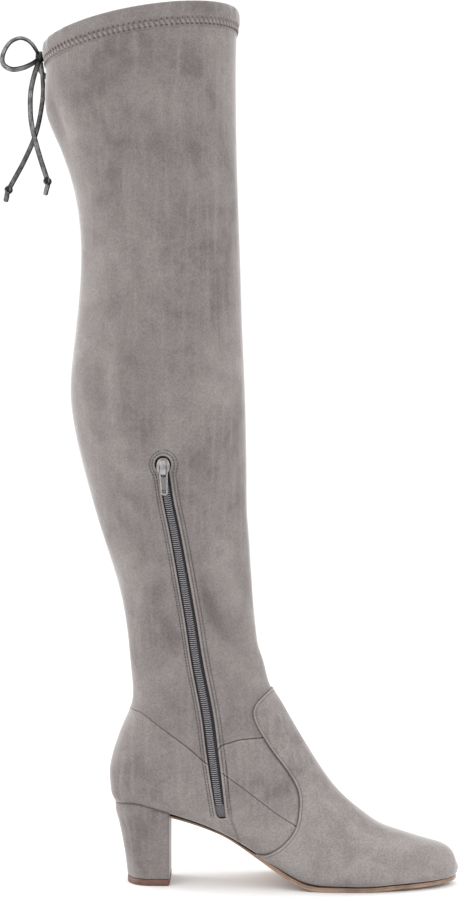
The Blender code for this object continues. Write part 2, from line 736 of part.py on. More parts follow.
def rod(build, radius, length, centre, sides=16):
    matrix = Matrix.Translation(centre) @ Matrix.Rotation(math.pi / 2.0, 4, "Y")
    bmesh.ops.create_cone(
        build, cap_ends=True, segments=sides, radius1=radius, radius2=radius, depth=length, matrix=matrix)


def hinge_place():
    # The bridge's hole, in front of the slider's middle.
    points = zip_points()
    run = (points[-1] - points[-2]).normalized()
    middle = points[-1] - run * (ZIP_HEAD_WIDTH / 2.0 + SLIDER_LENGTH * 0.15)
    build = boot_form()
    tree = BVHTree.FromBMesh(build)
    build.free()
    hit = tree.ray_cast(Vector((middle.x, -FAR, middle.y)), Vector((0.0, 1.0, 0.0)))[0]
    coil_face = hit.y + COIL_SINK
    slider_y = coil_face - CLEARANCE * 2.0 - SLIDER_THICKNESS / 2.0
    axis_y = slider_y - SLIDER_THICKNESS / 2.0 - BRIDGE_RADIUS * 0.75
    return Vector((middle.x, slider_y, middle.y)), Vector((middle.x, axis_y, middle.y)), run


def make_slider(metal):
    body, axis, run = hinge_place()
    build = bmesh.new()
    box(build, (SLIDER_WIDTH, SLIDER_THICKNESS, SLIDER_LENGTH), Vector())
    slider = make_object("zip_slider", build, metal, 30)
    slider.location = body
    corners = slider.modifiers.new("Rounded corners", "BEVEL")
    corners.width = SLIDER_THICKNESS * 0.3
    corners.segments = 2
    lug = bmesh.new()
    centre = axis - body
    rod(lug, BRIDGE_RADIUS, BRIDGE_WIDTH, centre)
    bridge_cutter = make_cutter("bridge", lug)
    bridge_cutter.location = body
    foot = bmesh.new()
    foot_centre = centre + Vector((0.0, BRIDGE_RADIUS * 0.5, 0.0))
    box(foot, (BRIDGE_WIDTH, BRIDGE_RADIUS, BRIDGE_RADIUS * 2.0), foot_centre)
    foot_cutter = make_cutter("bridge_foot", foot)
    foot_cutter.location = body
    combine(slider, bridge_cutter, "UNION")
    combine(slider, foot_cutter, "UNION")
    hole = bmesh.new()
    rod(hole, BRIDGE_HOLE_RADIUS, SLIDER_WIDTH, centre)
    hole_cutter = make_cutter("bridge_hole", hole)
    hole_cutter.location = body
    combine(slider, hole_cutter, "DIFFERENCE")


def make_pull(metal):
    # The tab's outline in its own plane, hanging from the bar through the bridge's hole.
    axis = hinge_place()[1]
    window = BRIDGE_WIDTH / 2.0 + CLEARANCE * 1.5
    window_low = -BRIDGE_RADIUS - CLEARANCE * 2.0
    top = PULL_BAR_RADIUS + 0.0004
    build = bmesh.new()
    outline = [
        (-PULL_TOP_WIDTH / 2.0, top), (PULL_TOP_WIDTH / 2.0, top),
        (PULL_TOP_WIDTH / 2.0, window_low * 1.4),
        (PULL_LEAN + PULL_END_WIDTH / 2.0, -PULL_LENGTH + 0.0008),
        (PULL_LEAN + PULL_END_WIDTH / 2.0 - 0.0008, -PULL_LENGTH),
        (PULL_LEAN - PULL_END_WIDTH / 2.0 + 0.0008, -PULL_LENGTH),
        (PULL_LEAN - PULL_END_WIDTH / 2.0, -PULL_LENGTH + 0.0008),
        (-PULL_TOP_WIDTH / 2.0, window_low * 1.4),
    ]
    half = PULL_THICKNESS / 2.0
    face = build.faces.new([build.verts.new((x, -half, z)) for x, z in outline])
    drawn = bmesh.ops.extrude_face_region(build, geom=[face])
    moved = [item for item in drawn["geom"] if isinstance(item, bmesh.types.BMVert)]
    bmesh.ops.translate(build, verts=moved, vec=(0.0, PULL_THICKNESS, 0.0))
    pull = make_object("zip_pull", build, metal, 30)
    pull.location = axis
    opening = bmesh.new()
    opening_top = top + 0.001
    box(opening, (window * 2.0, 0.01, opening_top - window_low),
        Vector((0.0, 0.0, (opening_top + window_low) / 2.0)))
    opening_cutter = make_cutter("pull_window", opening)
    opening_cutter.location = axis
    combine(pull, opening_cutter, "DIFFERENCE")
    slot = bmesh.new()
    box(slot, (PULL_END_WIDTH * 0.4, 0.01, 0.0030), Vector((PULL_LEAN * 0.9, 0.0, -PULL_LENGTH + 0.0032)))
    slot_cutter = make_cutter("pull_end_slot", slot)
    slot_cutter.location = axis
    combine(pull, slot_cutter, "DIFFERENCE")
    bar = bmesh.new()
    rod(bar, PULL_BAR_RADIUS, PULL_TOP_WIDTH - 0.001, Vector(), 12)
    bar_cutter = make_cutter("pull_bar", bar)
    bar_cutter.location = axis
    combine(pull, bar_cutter, "UNION")


def cord_point(point):
    behind, side, up = point
    return Vector((LEG_AXIS_X + behind, side, HEEL_HEIGHT + up))


def curve_through(points, spacing):
    # Catmull-Rom curve through the route's points, read at even steps along it.
    dense = []
    for index in range(len(points) - 1):
        before = points[max(index - 1, 0)]
        first = points[index]
        second = points[index + 1]
        after = points[min(index + 2, len(points) - 1)]
        for number in range(8):
            t = number / 8.0
            dense.append(0.5 * (
                2.0 * first + (second - before) * t
                + (2.0 * before - 5.0 * first + 4.0 * second - after) * t * t
                + (3.0 * first - before - 3.0 * second + after) * t * t * t))
    dense.append(points[-1].copy())
    lengths = [0.0]
    for first, second in zip(dense, dense[1:]):
        lengths.append(lengths[-1] + (second - first).length)
    count = max(2, round(lengths[-1] / spacing))
    read = []
    index = 0
    for number in range(count + 1):
        target = lengths[-1] * number / count
        while index < len(lengths) - 2 and lengths[index + 1] < target:
            index += 1
        share = (target - lengths[index]) / (lengths[index + 1] - lengths[index])
        read.append(dense[index].lerp(dense[index + 1], share))
    return read


def touches(point, run, knot):
    # Whether a cord's round end at this point comes within the clearance of a knot.
    centre, size = knot
    side = run.orthogonal().normalized()
    for number in range(9):
        turn = Matrix.Rotation(2.0 * math.pi * number / 8, 3, run)
        reach = CORD_DIAMETER / 2.0 if number < 8 else 0.0
        place = point + turn @ side * reach - centre
        scaled = Vector([place[axis] / (size[axis] / 2.0 + CLEARANCE) for axis in range(3)])
        if scaled.length < 1.0:
            return True
    return False


def trim(points, knots):
    # The stretch of the route that lies outside the knots at its two ends.
    first = 0
    last = len(points) - 1
    while touches(points[first], (points[first + 1] - points[first]).normalized(), knots[0]):
        first += 1
    while touches(points[last], (points[last] - points[last - 1]).normalized(), knots[-1]):
        last -= 1
    return points[first:last + 1]


def make_cord(name, route, material, knots):
    # From the middle of the first knot through the route to the second knot, or to a free end.
    points = [knots[0][0]] + [cord_point(point) for point in route]
    if len(knots) > 1:
        points.append(knots[1][0])
    points = trim(curve_through(points, CORD_DIAMETER * 0.03), knots)
    points = curve_through(points, CORD_DIAMETER * 2.2)
    data = bpy.data.curves.new(name, "CURVE")
    data.dimensions = "3D"
    data.bevel_depth = CORD_DIAMETER / 2.0
    data.bevel_resolution = 2
    data.use_fill_caps = True
    data.materials.append(material)
    spline = data.splines.new("POLY")
    spline.points.add(len(points) - 1)
    for target, point in zip(spline.points, points):
        target.co = (*point, 1.0)
    spline.use_smooth = True
    item = bpy.data.objects.new(name, data)
    bpy.context.collection.objects.link(item)


def make_knot(name, knot, material):
    centre, size = knot
    build = bmesh.new()
    bmesh.ops.create_uvsphere(build, u_segments=12, v_segments=7, radius=0.5)
    matrix = Matrix.Translation(centre) @ Matrix.Diagonal((*size, 1.0))
    bmesh.ops.transform(build, matrix=matrix, verts=build.verts)
    make_object(name, build, material, 80)


def make_bow(leather):
    rim = section_rows()[-1]
    front = rim[0] - CLEARANCE - CASING_THICKNESS + KNOT_SINK
    centre = Vector((front - KNOT_DEPTH / 2.0, 0.0, rim[1] - CASING_HEIGHT / 2.0))
    bow = (centre, (KNOT_DEPTH, KNOT_WIDTH, KNOT_HEIGHT))
    make_knot("bow_knot", bow, leather)
    make_cord("bow_loop_near", NEAR_LOOP, leather, (bow, bow))
    make_cord("bow_loop_far", FAR_LOOP, leather, (bow, bow))
    for side, tail, middle, tip in (
        ("near", NEAR_TAIL, NEAR_TIP_KNOT, NEAR_TIP),
        ("far", FAR_TAIL, FAR_TIP_KNOT, FAR_TIP),
    ):
        knot = (cord_point(middle), (TIP_KNOT_DIAMETER,) * 3)
        make_knot("tail_knot_" + side, knot, leather)
        make_cord("bow_tail_" + side, tail, leather, (bow, knot))
        make_cord("bow_tip_" + side, tip, leather, (knot,))


def main():
    clear_scene()
    suede = make_material("suede", (0.285, 0.252, 0.252), 0.95)
    vamp_suede = make_material("vamp_suede", (0.300, 0.266, 0.262), 0.95)
    heel_suede = make_material("heel_suede", (0.270, 0.240, 0.240), 0.95)
    sole_leather = make_material("sole_leather", (0.430, 0.270, 0.180), 0.55)
    lift_rubber = make_material("lift_rubber", (0.190, 0.090, 0.060), 0.60)
    lining = make_material("lining", (0.300, 0.260, 0.240), 0.85)
    tape = make_material("tape", (0.070, 0.066, 0.075), 0.80)
    coil = make_material("coil", (0.120, 0.115, 0.130), 0.45)
    metal = make_material("metal", (0.500, 0.480, 0.480), 0.30, 1.0)
    cord_leather = make_material("cord_leather", (0.240, 0.215, 0.215), 0.45)
    make_upper_and_shaft(suede)
    make_vamp(vamp_suede)
    make_casing(suede)
    make_sole(sole_leather)
    make_insole(lining)
    make_heel(heel_suede, lift_rubber)
    inner_face = -UPPER_WALL - CLEARANCE
    make_zip_band("zip_tape", inner_face, inner_face - TAPE_THICKNESS, TAPE_WIDTH / 2.0, -TAPE_END, tape)
    make_zip_band("zip_coil", -COIL_SINK, -UPPER_WALL, COIL_WIDTH / 2.0, CLEARANCE * 3.0, coil)
    make_slider(metal)
    make_pull(metal)
    make_bow(cord_leather)


main()
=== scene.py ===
import math

import bpy
import numpy as np
from mathutils import Matrix, Vector
from mathutils.bvhtree import BVHTree


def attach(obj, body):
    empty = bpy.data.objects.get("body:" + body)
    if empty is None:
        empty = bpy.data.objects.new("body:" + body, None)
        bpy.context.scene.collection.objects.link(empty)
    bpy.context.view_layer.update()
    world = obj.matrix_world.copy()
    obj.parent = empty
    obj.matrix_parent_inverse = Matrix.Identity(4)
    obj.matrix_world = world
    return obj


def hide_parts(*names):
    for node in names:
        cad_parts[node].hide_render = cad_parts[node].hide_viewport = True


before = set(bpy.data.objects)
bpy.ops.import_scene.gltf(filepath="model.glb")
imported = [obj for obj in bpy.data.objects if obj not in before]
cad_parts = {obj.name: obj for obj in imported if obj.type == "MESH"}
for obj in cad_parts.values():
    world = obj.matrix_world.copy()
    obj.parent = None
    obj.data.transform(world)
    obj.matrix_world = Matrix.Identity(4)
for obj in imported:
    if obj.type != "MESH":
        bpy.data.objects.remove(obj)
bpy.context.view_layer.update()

# Left thigh high boot in grey suede. Metres, +Z up, +X to the toe, -Y is the inner side with the zip.

# ---- sizes of the last and the leg, the same as the solids have
last = {
    "footLength": 0.2524,
    "heelBack": -0.0290,
    "ballWidth": 0.0808,
    "instepHeight": 0.1000,
    "heelHeight": 0.0560,
    "legHeight": 0.5535,
    "legAxis": 0.0200,
    "ankleDepth": 0.0880,
    "calfDepth": 0.1260,
    "thighDepth": 0.1400,
    "ankleWidth": 0.0670,
    "calfWidth": 0.1056,
    "thighWidth": 0.1200,
    "collarRise": 0.0248,
    "collarCrown": 0.0023,
    "soleThickness": 0.0032,
    "clearance": 0.0003,
    "wall": 0.0018,
}

# place along the foot, sole's bottom, thickness of its edge, rise of the upper's underside
soleLine = [
    (0.000, 1.010, 0.47, 0.56), (0.075, 0.970, 0.47, 0.56), (0.134, 0.927, 0.47, 0.56),
    (0.178, 0.882, 0.47, 0.56), (0.262, 0.762, 0.47, 0.56), (0.333, 0.630, 0.47, 0.56),
    (0.386, 0.488, 0.50, 0.65), (0.430, 0.360, 0.82, 0.86), (0.482, 0.216, 1.05, 1.15),
    (0.536, 0.077, 1.08, 1.24), (0.572, 0.018, 1.05, 1.26), (0.607, 0.000, 1.00, 1.26),
    (0.740, 0.000, 0.98, 1.26), (0.815, 0.021, 0.94, 1.25), (0.905, 0.036, 0.90, 1.22),
    (1.000, 0.070, 0.86, 1.15),
]
# place along the foot, inner and outer half width of the sole
soleOutline = [
    (0.178, 0.266, 0.266), (0.234, 0.241, 0.260), (0.305, 0.229, 0.279), (0.368, 0.242, 0.322),
    (0.432, 0.297, 0.372), (0.499, 0.384, 0.428), (0.570, 0.446, 0.462), (0.650, 0.471, 0.473),
    (0.717, 0.471, 0.456), (0.780, 0.450, 0.411), (0.840, 0.409, 0.347), (0.895, 0.351, 0.268),
    (0.939, 0.285, 0.186), (0.971, 0.220, 0.099), (0.990, 0.155, 0.013), (0.998, 0.093, -0.047),
]
# sections of the foot: lowest and highest place, height, half width, side shifts, widest, squareness
footRows = [
    (0.9920, 0.9945, 0.085, 0.136, -0.068, -0.068, 0.47, 3.0, 2.3),
    (0.9845, 0.9860, 0.146, 0.262, -0.067, -0.068, 0.45, 3.6, 2.3),
    (0.9670, 0.9670, 0.194, 0.400, -0.062, -0.066, 0.42, 4.4, 2.3),
    (0.9350, 0.9350, 0.227, 0.540, -0.055, -0.062, 0.39, 5.0, 2.3),
    (0.8875, 0.8895, 0.262, 0.685, -0.043, -0.056, 0.36, 5.6, 2.3),
    (0.8200, 0.8320, 0.309, 0.846, -0.028, -0.048, 0.33, 6.2, 2.3),
    (0.7530, 0.7805, 0.369, 0.946, -0.014, -0.040, 0.31, 6.5, 2.2),
    (0.6890, 0.7330, 0.451, 0.996, -0.003, -0.034, 0.30, 6.5, 2.1),
    (0.6260, 0.6874, 0.546, 0.996, 0.004, -0.028, 0.30, 6.4, 2.1),
    (0.5626, 0.6420, 0.650, 0.952, 0.009, -0.022, 0.31, 6.0, 2.1),
    (0.4950, 0.5960, 0.729, 0.894, 0.012, -0.016, 0.33, 5.6, 2.1),
    (0.4240, 0.5567, 0.790, 0.846, 0.012, -0.011, 0.36, 5.3, 2.1),
    (0.3526, 0.5210, 0.837, 0.818, 0.009, -0.007, 0.39, 5.1, 2.1),
    (0.2813, 0.4905, 0.887, 0.806, 0.006, -0.004, 0.42, 5.0, 2.1),
    (0.2100, 0.4660, 0.929, 0.801, 0.003, -0.002, 0.44, 5.0, 2.1),
    (0.1387, 0.4513, 1.005, 0.799, 0.000, 0.000, 0.46, 4.8, 2.1),
    (0.0753, 0.4398, 1.083, 0.797, 0.000, 0.000, 0.48, 4.2, 2.1),
]
# sections of the leg: back and front height, depth, reach to front and back, width, share, widest, squareness
legRows = [
    (0.0065, 0.2078, "ankle", 0.685, 0.507, 0.961, 0.49, 2.9, 2.1),
    (0.0271, 0.2204, "ankle", 0.670, 0.550, 0.961, 0.50, 2.4, 2.1),
    (0.0506, 0.2349, "ankle", 0.655, 0.552, 0.961, 0.50, 2.2, 2.1),
    (0.0831, 0.2529, "ankle", 0.642, 0.499, 0.967, 0.50, 2.1, 2.1),
    (0.1111, 0.2710, "ankle", 0.637, 0.430, 0.979, 0.49, 2.1, 2.1),
    (0.1355, 0.2891, "ankle", 0.627, 0.370, 0.994, 0.48, 2.1, 2.1),
    (0.1734, 0.3107, "ankle", 0.616, 0.374, 1.027, 0.48, 2.1, 2.1),
    (0.2204, 0.3433, "ankle", 0.604, 0.402, 1.090, 0.48, 2.1, 2.1),
    (0.2836, 0.3830, "calf", 0.409, 0.328, 0.758, 0.48, 2.1, 2.1),
    (0.3469, 0.4264, "calf", 0.406, 0.414, 0.843, 0.48, 2.1, 2.1),
    (0.4155, 0.4733, "calf", 0.404, 0.504, 0.924, 0.47, 2.1, 2.1),
    (0.4806, 0.5221, "calf", 0.399, 0.575, 0.981, 0.47, 2.1, 2.1),
    (0.5366, 0.5673, "calf", 0.392, 0.611, 1.000, 0.47, 2.1, 2.1),
    (0.5818, 0.6125, "calf", 0.383, 0.602, 0.996, 0.47, 2.1, 2.1),
    (0.6540, 0.6829, "calf", 0.373, 0.568, 0.970, 0.47, 2.1, 2.1),
    (0.7425, 0.7733, "calf", 0.360, 0.554, 0.962, 0.48, 2.1, 2.1),
    (0.8130, 0.8437, "thigh", 0.315, 0.538, 0.875, 0.48, 2.1, 2.1),
    (0.8708, 0.9015, "thigh", 0.311, 0.618, 0.925, 0.48, 2.1, 2.1),
    (0.9106, 0.9431, "thigh", 0.310, 0.677, 0.963, 0.48, 2.1, 2.1),
    (0.9557, 0.9882, "thigh", 0.311, 0.680, 0.987, 0.48, 2.1, 2.1),
    (1.0000, 1.0000, "thigh", 0.316, 0.686, 1.000, 0.48, 2.1, 2.1),
]
# seam between shaft and upper: place along the foot and height, inner then outer side
shaftEdge = [
    (-0.150, 0.770, -0.150, 0.770), (0.067, 0.707, 0.067, 0.707), (0.100, 0.704, 0.100, 0.704),
    (0.132, 0.662, 0.132, 0.662), (0.196, 0.584, 0.196, 0.584), (0.239, 0.537, 0.239, 0.537),
    (0.297, 0.482, 0.281, 0.492), (0.321, 0.635, 0.340, 0.431), (0.350, 0.702, 0.391, 0.416),
    (0.380, 0.768, 0.442, 0.398), (0.410, 0.820, 0.492, 0.405), (0.442, 0.872, 0.527, 0.500),
    (0.455, 0.910, 0.523, 0.674), (0.467, 0.960, 0.495, 0.810), (0.479, 1.017, 0.479, 0.957),
    (0.560, 1.230, 0.560, 1.230),
]
# place along the foot and height over the sole
vampEdge = [
    (0.520, 1.330), (0.478, 1.248), (0.463, 1.220), (0.437, 1.136), (0.420, 1.064), (0.414, 1.000),
    (0.422, 0.941), (0.442, 0.879), (0.473, 0.804), (0.504, 0.747), (0.532, 0.679), (0.545, 0.608),
    (0.546, 0.520), (0.539, 0.395), (0.519, 0.278), (0.488, 0.156), (0.453, 0.060), (0.420, -0.008),
    (0.400, -0.200),
]
# from the foot of the zip up: place before the leg's axis in ankle depths, height in leg heights
zipLine = [
    (0.378, -0.0085), (0.310, 0.0708), (0.265, 0.1248), (0.186, 0.1901), (0.130, 0.2482),
    (0.064, 0.3100), (0.008, 0.3608), (-0.048, 0.4056), (-0.093, 0.4585),
]


def smoothValue(keys, values, place):
    # cubic through the rows that never overshoots them
    place = min(max(place, keys[0]), keys[-1])
    index = 0
    while index < len(keys) - 2 and place > keys[index + 1]:
        index += 1

    def slope(number):
        return (values[number + 1] - values[number]) / (keys[number + 1] - keys[number])

    def tangent(number):
        if number == 0:
            return slope(0)
        if number == len(keys) - 1:
            return slope(number - 1)
        before, after = slope(number - 1), slope(number)
        return 0.0 if before * after <= 0.0 else 2.0 * before * after / (before + after)

    width = keys[index + 1] - keys[index]
    share = (place - keys[index]) / width
    rest = 1.0 - share
    return (values[index] * (1 + 2 * share) * rest ** 2 + values[index + 1] * (3 - 2 * share) * share ** 2
            + tangent(index) * width * share * rest ** 2 - tangent(index + 1) * width * share ** 2 * rest)


def readTable(table, column, place):
    return smoothValue([row[0] for row in table], [row[column] for row in table], place)


def footX(place):
    return last["heelBack"] + place * last["footLength"]


def soleBottom(place):
    return last["heelHeight"] * readTable(soleLine, 1, place)


def soleRim(place):
    return last["soleThickness"] * readTable(soleLine, 2, place)


def underside(place):
    return soleBottom(place) + last["soleThickness"] * readTable(soleLine, 3, place)


def sectionRows():
    rows = []
    width = last["ballWidth"]
    for low, high, height, half, lowSide, highSide, widest, lowSquare, highSquare in footRows:
        seat = underside(low)
        rows.append((footX(low), seat, footX(high), seat + height * last["instepHeight"],
                     half * width / 2, lowSide * width, highSide * width, widest, lowSquare, highSquare))
    for row in legRows:
        backUp, frontUp, part, front, back, share, widest, backSquare, frontSquare = row
        depth = last[part + "Depth"]
        lift = last["collarRise"] if row is legRows[-1] else 0.0
        rows.append((last["legAxis"] - back * depth, last["heelHeight"] + backUp * last["legHeight"],
                     last["legAxis"] + front * depth, last["heelHeight"] + frontUp * last["legHeight"] + lift,
                     share * last[part + "Width"] / 2, 0.0, 0.0, widest, backSquare, frontSquare))
    return rows


def pathRuns(path):
    # how far along the path each of its points lies
    return np.concatenate([[0.0], np.cumsum(np.linalg.norm(np.diff(path, axis=0), axis=1))])


def ease(share):
    # from 0 to 1 with a soft start and end
    share = np.clip(share, 0.0, 1.0)
    return share * share * (3 - 2 * share)


def curveThrough(points, spacing):
    # Catmull-Rom curve through the points, read at even steps
    points = [np.array(point, float) for point in points]
    dense = []
    for index in range(len(points) - 1):
        before, first = points[max(index - 1, 0)], points[index]
        second, after = points[index + 1], points[min(index + 2, len(points) - 1)]
        for number in range(12):
            t = number / 12
            dense.append(0.5 * (2 * first + (second - before) * t
                                + (2 * before - 5 * first + 4 * second - after) * t * t
                                + (3 * first - before - 3 * second + after) * t * t * t))
    dense = np.array(dense + [points[-1]])
    runs = pathRuns(dense)
    count = max(2, round(runs[-1] / spacing))
    targets = np.linspace(0.0, runs[-1], count + 1)
    return np.stack([np.interp(targets, runs, dense[:, axis]) for axis in range(dense.shape[1])], axis=1)


def footLine(table, column=0):
    # a line on the side of the foot, as a smooth curve in the side view
    return curveThrough([(footX(row[column]), underside(row[column]) + row[column + 1] * last["instepHeight"])
                         for row in table], 0.001)


# ---- mesh helpers

def deselectAll():
    for item in bpy.context.selected_objects:
        item.select_set(False)


def activate(item):
    deselectAll()
    item.select_set(True)
    bpy.context.view_layer.objects.active = item


def applyModifier(item, kind, **settings):
    activate(item)
    step = item.modifiers.new(kind.title(), kind)
    for key, value in settings.items():
        setattr(step, key, value)
    bpy.ops.object.modifier_apply(modifier=step.name)


def settle(item):
    # the piece's place goes into its mesh
    activate(item)
    bpy.ops.object.transform_apply(location=True, rotation=True, scale=True)
    return item


def meshPiece(name, points, faces, finish):
    mesh = bpy.data.meshes.new(name)
    mesh.from_pydata([tuple(point) for point in points], [], [tuple(face) for face in faces])
    mesh.update()
    item = bpy.data.objects.new(name, mesh)
    bpy.context.collection.objects.link(item)
    mesh.materials.append(finish)
    return item


def gridFaces(rowsCount, around, flip=False):
    # the faces between closed rings of points
    index = np.arange(rowsCount * around).reshape(rowsCount, around)
    after = np.roll(index, -1, axis=1)
    quads = np.stack([index[:-1], after[:-1], after[1:], index[1:]], axis=2).reshape(-1, 4)
    return quads[:, ::-1] if flip else quads


def tubeFaces(rowsCount, around):
    # the same with both ends closed
    end = (rowsCount - 1) * around
    return gridFaces(rowsCount, around).tolist() + [list(range(around)), list(range(end, end + around))]


def loftPiece(name, loops, finish):
    points = [point for loop in loops for point in loop]
    return outward(meshPiece(name, points, tubeFaces(len(loops), len(loops[0])), finish))


def setShade(item, values):
    # painted highlight above 0 and painted shade below it on the suede and sole, a darker sunken face on the pull
    # tab; read by the materials
    layer = item.data.attributes.new("shade", "FLOAT", "POINT")
    layer.data.foreach_set("value", np.array(values, np.float32).reshape(-1))


def smoothPiece(item, angle=40):
    activate(item)
    bpy.ops.object.shade_smooth_by_angle(angle=math.radians(angle))
    return item


def outward(item):
    activate(item)
    bpy.ops.object.mode_set(mode="EDIT")
    bpy.ops.mesh.select_all(action="SELECT")
    bpy.ops.mesh.normals_make_consistent(inside=False)
    bpy.ops.object.mode_set(mode="OBJECT")
    return item


def placePiece(item, body, slotName, *nodes):
    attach(item, body)
    if nodes:
        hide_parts(*nodes)
    return item


# ---- node helpers

def startMaterial(name):
    made = bpy.data.materials.new(name)
    made.use_nodes = True
    return made, made.node_tree, made.node_tree.nodes["Principled BSDF"]


def addNode(tree, kind, inputs, **settings):
    made = tree.nodes.new(kind)
    for key, value in settings.items():
        setattr(made, key, value)
    for key, value in inputs.items():
        if isinstance(value, bpy.types.NodeSocket):
            tree.links.new(value, made.inputs[key])
        else:
            made.inputs[key].default_value = value
    return made


def objectPlace(tree):
    return addNode(tree, "ShaderNodeTexCoord", {}).outputs["Object"]


def mapped(tree, vector, scale):
    return addNode(tree, "ShaderNodeMapping", {"Vector": vector, "Scale": scale}).outputs[0]


def noise(tree, vector, scale, detail=2.0, distortion=0.0):
    return addNode(tree, "ShaderNodeTexNoise", {"Vector": vector, "Scale": scale, "Detail": detail,
                                                "Distortion": distortion}).outputs[0]


def between(tree, value, low, high, start=0.0, end=1.0):
    return addNode(tree, "ShaderNodeMapRange", {0: value, 1: low, 2: high, 3: start, 4: end},
                   interpolation_type="SMOOTHSTEP").outputs[0]


def calc(tree, operation, first, second=0.0):
    return addNode(tree, "ShaderNodeMath", {0: first, 1: second}, operation=operation).outputs[0]


def mixColor(tree, factor, first, second, blend="MIX"):
    return addNode(tree, "ShaderNodeMix", {0: factor, 6: first, 7: second}, data_type="RGBA",
                   blend_type=blend).outputs[2]


def attribute(tree, name):
    return addNode(tree, "ShaderNodeAttribute", {}, attribute_name=name).outputs["Fac"]


def bumpInto(tree, shader, height, strength, distance):
    bump = addNode(tree, "ShaderNodeBump", {"Height": height, "Strength": strength, "Distance": distance})
    tree.links.new(bump.outputs[0], shader.inputs["Normal"])


def finishSurface(tree, shader, color, roughness, height, strength, distance):
    tree.links.new(color, shader.inputs["Base Color"])
    shader.inputs["Roughness"].default_value = roughness
    bumpInto(tree, shader, height, strength, distance)


# ---- camera, floor and light

view = {"distance": 1.35, "turn": 1.0, "aim": (0.0583, 0.0, 0.314), "lens": 73.97, "sensor": 36.0,
        "reach": 20.0}


def makeCamera():
    data = bpy.data.cameras.new("camera")
    data.lens = view["lens"]
    data.sensor_width = view["sensor"]
    data.clip_end = view["reach"]
    item = bpy.data.objects.new("camera", data)
    bpy.context.collection.objects.link(item)
    turn = math.radians(view["turn"])
    aim = Vector(view["aim"])
    item.location = aim + Vector((math.sin(turn), -math.cos(turn), 0.0)) * view["distance"]
    item.rotation_euler = (aim - item.location).to_track_quat("-Z", "Y").to_euler()
    bpy.context.scene.camera = item


makeCamera()
print("camera made")

# ---- cords of the bow, on the solids' routes

cord = {
    "width": 0.0037,
    "thickness": 0.0013,
    "spacing": 0.0008,
    "around": 24,
    "endTaper": 0.62,
    "stitchPitch": 0.0017,
    "stitch": (0.00036, 0.0010, 0.00022),
    "knotBack": 0.00365,
    "knotDrop": 0.0085,
    "knotSize": (0.0074, 0.0090, 0.0086),
    "tipKnotSize": (0.0062, 0.0062, 0.0062),
    "insideKnot": 0.0026,
    "turnHalf": (0.0008, 0.0016),
    "color": (0.070, 0.066, 0.064, 1.0),
    # dark is the painted shade of the edges, the far strands and the knot; light is a lighter tone and the
    # painted highlight down each face
    "dark": (0.006, 0.006, 0.006, 1.0),
    "light": (0.270, 0.262, 0.258, 1.0),
}
# behind the leg's axis, to the side and up from the heel seat
nearLoop = [
    (-0.1047, -0.0060, 0.5532), (-0.1095, -0.0080, 0.5566), (-0.1144, -0.0092, 0.5571),
    (-0.1204, -0.0100, 0.5540), (-0.1246, -0.0100, 0.5480), (-0.1262, -0.0100, 0.5420),
    (-0.1248, -0.0098, 0.5374), (-0.1192, -0.0090, 0.5346), (-0.1119, -0.0070, 0.5360),
    (-0.1052, -0.0036, 0.5398),
]
farLoop = [
    (-0.1026, 0.0084, 0.5488), (-0.1008, 0.0140, 0.5506), (-0.0982, 0.0220, 0.5500),
    (-0.0944, 0.0300, 0.5468), (-0.0914, 0.0358, 0.5412), (-0.0924, 0.0348, 0.5372),
    (-0.0958, 0.0280, 0.5350), (-0.0992, 0.0192, 0.5360), (-0.1020, 0.0128, 0.5390),
    (-0.1034, 0.0078, 0.5424),
]
nearTail = [
    (-0.1030, -0.0058, 0.5325), (-0.1058, -0.0062, 0.5196), (-0.1062, -0.0068, 0.5074),
    (-0.1054, -0.0070, 0.4964), (-0.1028, -0.0070, 0.4840), (-0.0988, -0.0068, 0.4698),
]
nearTipKnot = (-0.0937, -0.0066, 0.4535)
nearTip = [(-0.0944, -0.0066, 0.4474), (-0.0953, -0.0066, 0.4434)]
farTail = [
    (-0.0988, 0.0050, 0.5335), (-0.0984, 0.0058, 0.5200), (-0.0997, 0.0064, 0.5090),
    (-0.1018, 0.0066, 0.4978), (-0.1043, 0.0064, 0.4890), (-0.1080, 0.0062, 0.4795),
    (-0.1142, 0.0056, 0.4664),
]
farTipKnot = (-0.1236, 0.0050, 0.4490)
farTip = [(-0.1250, 0.0050, 0.4436), (-0.1259, 0.0050, 0.4402)]
# degrees that each band turns about its run, at even steps along it
cordTurns = {
    "bowLoopNear": (55, 40, 25, 30, 55),
    "bowLoopFar": (60, 30, 0, -30, -60),
    "bowTailNear": (-20, 0, 10, 0, 0, 25),
    "bowTailFar": (40, 25, 20, 15, 5, 0),
}


def cordPoint(point):
    return (last["legAxis"] + point[0], point[1], last["heelHeight"] + point[2])


def knotCentre():
    rim = sectionRows()[-1]
    return (rim[0] - cord["knotBack"], 0.0, rim[1] - cord["knotDrop"])


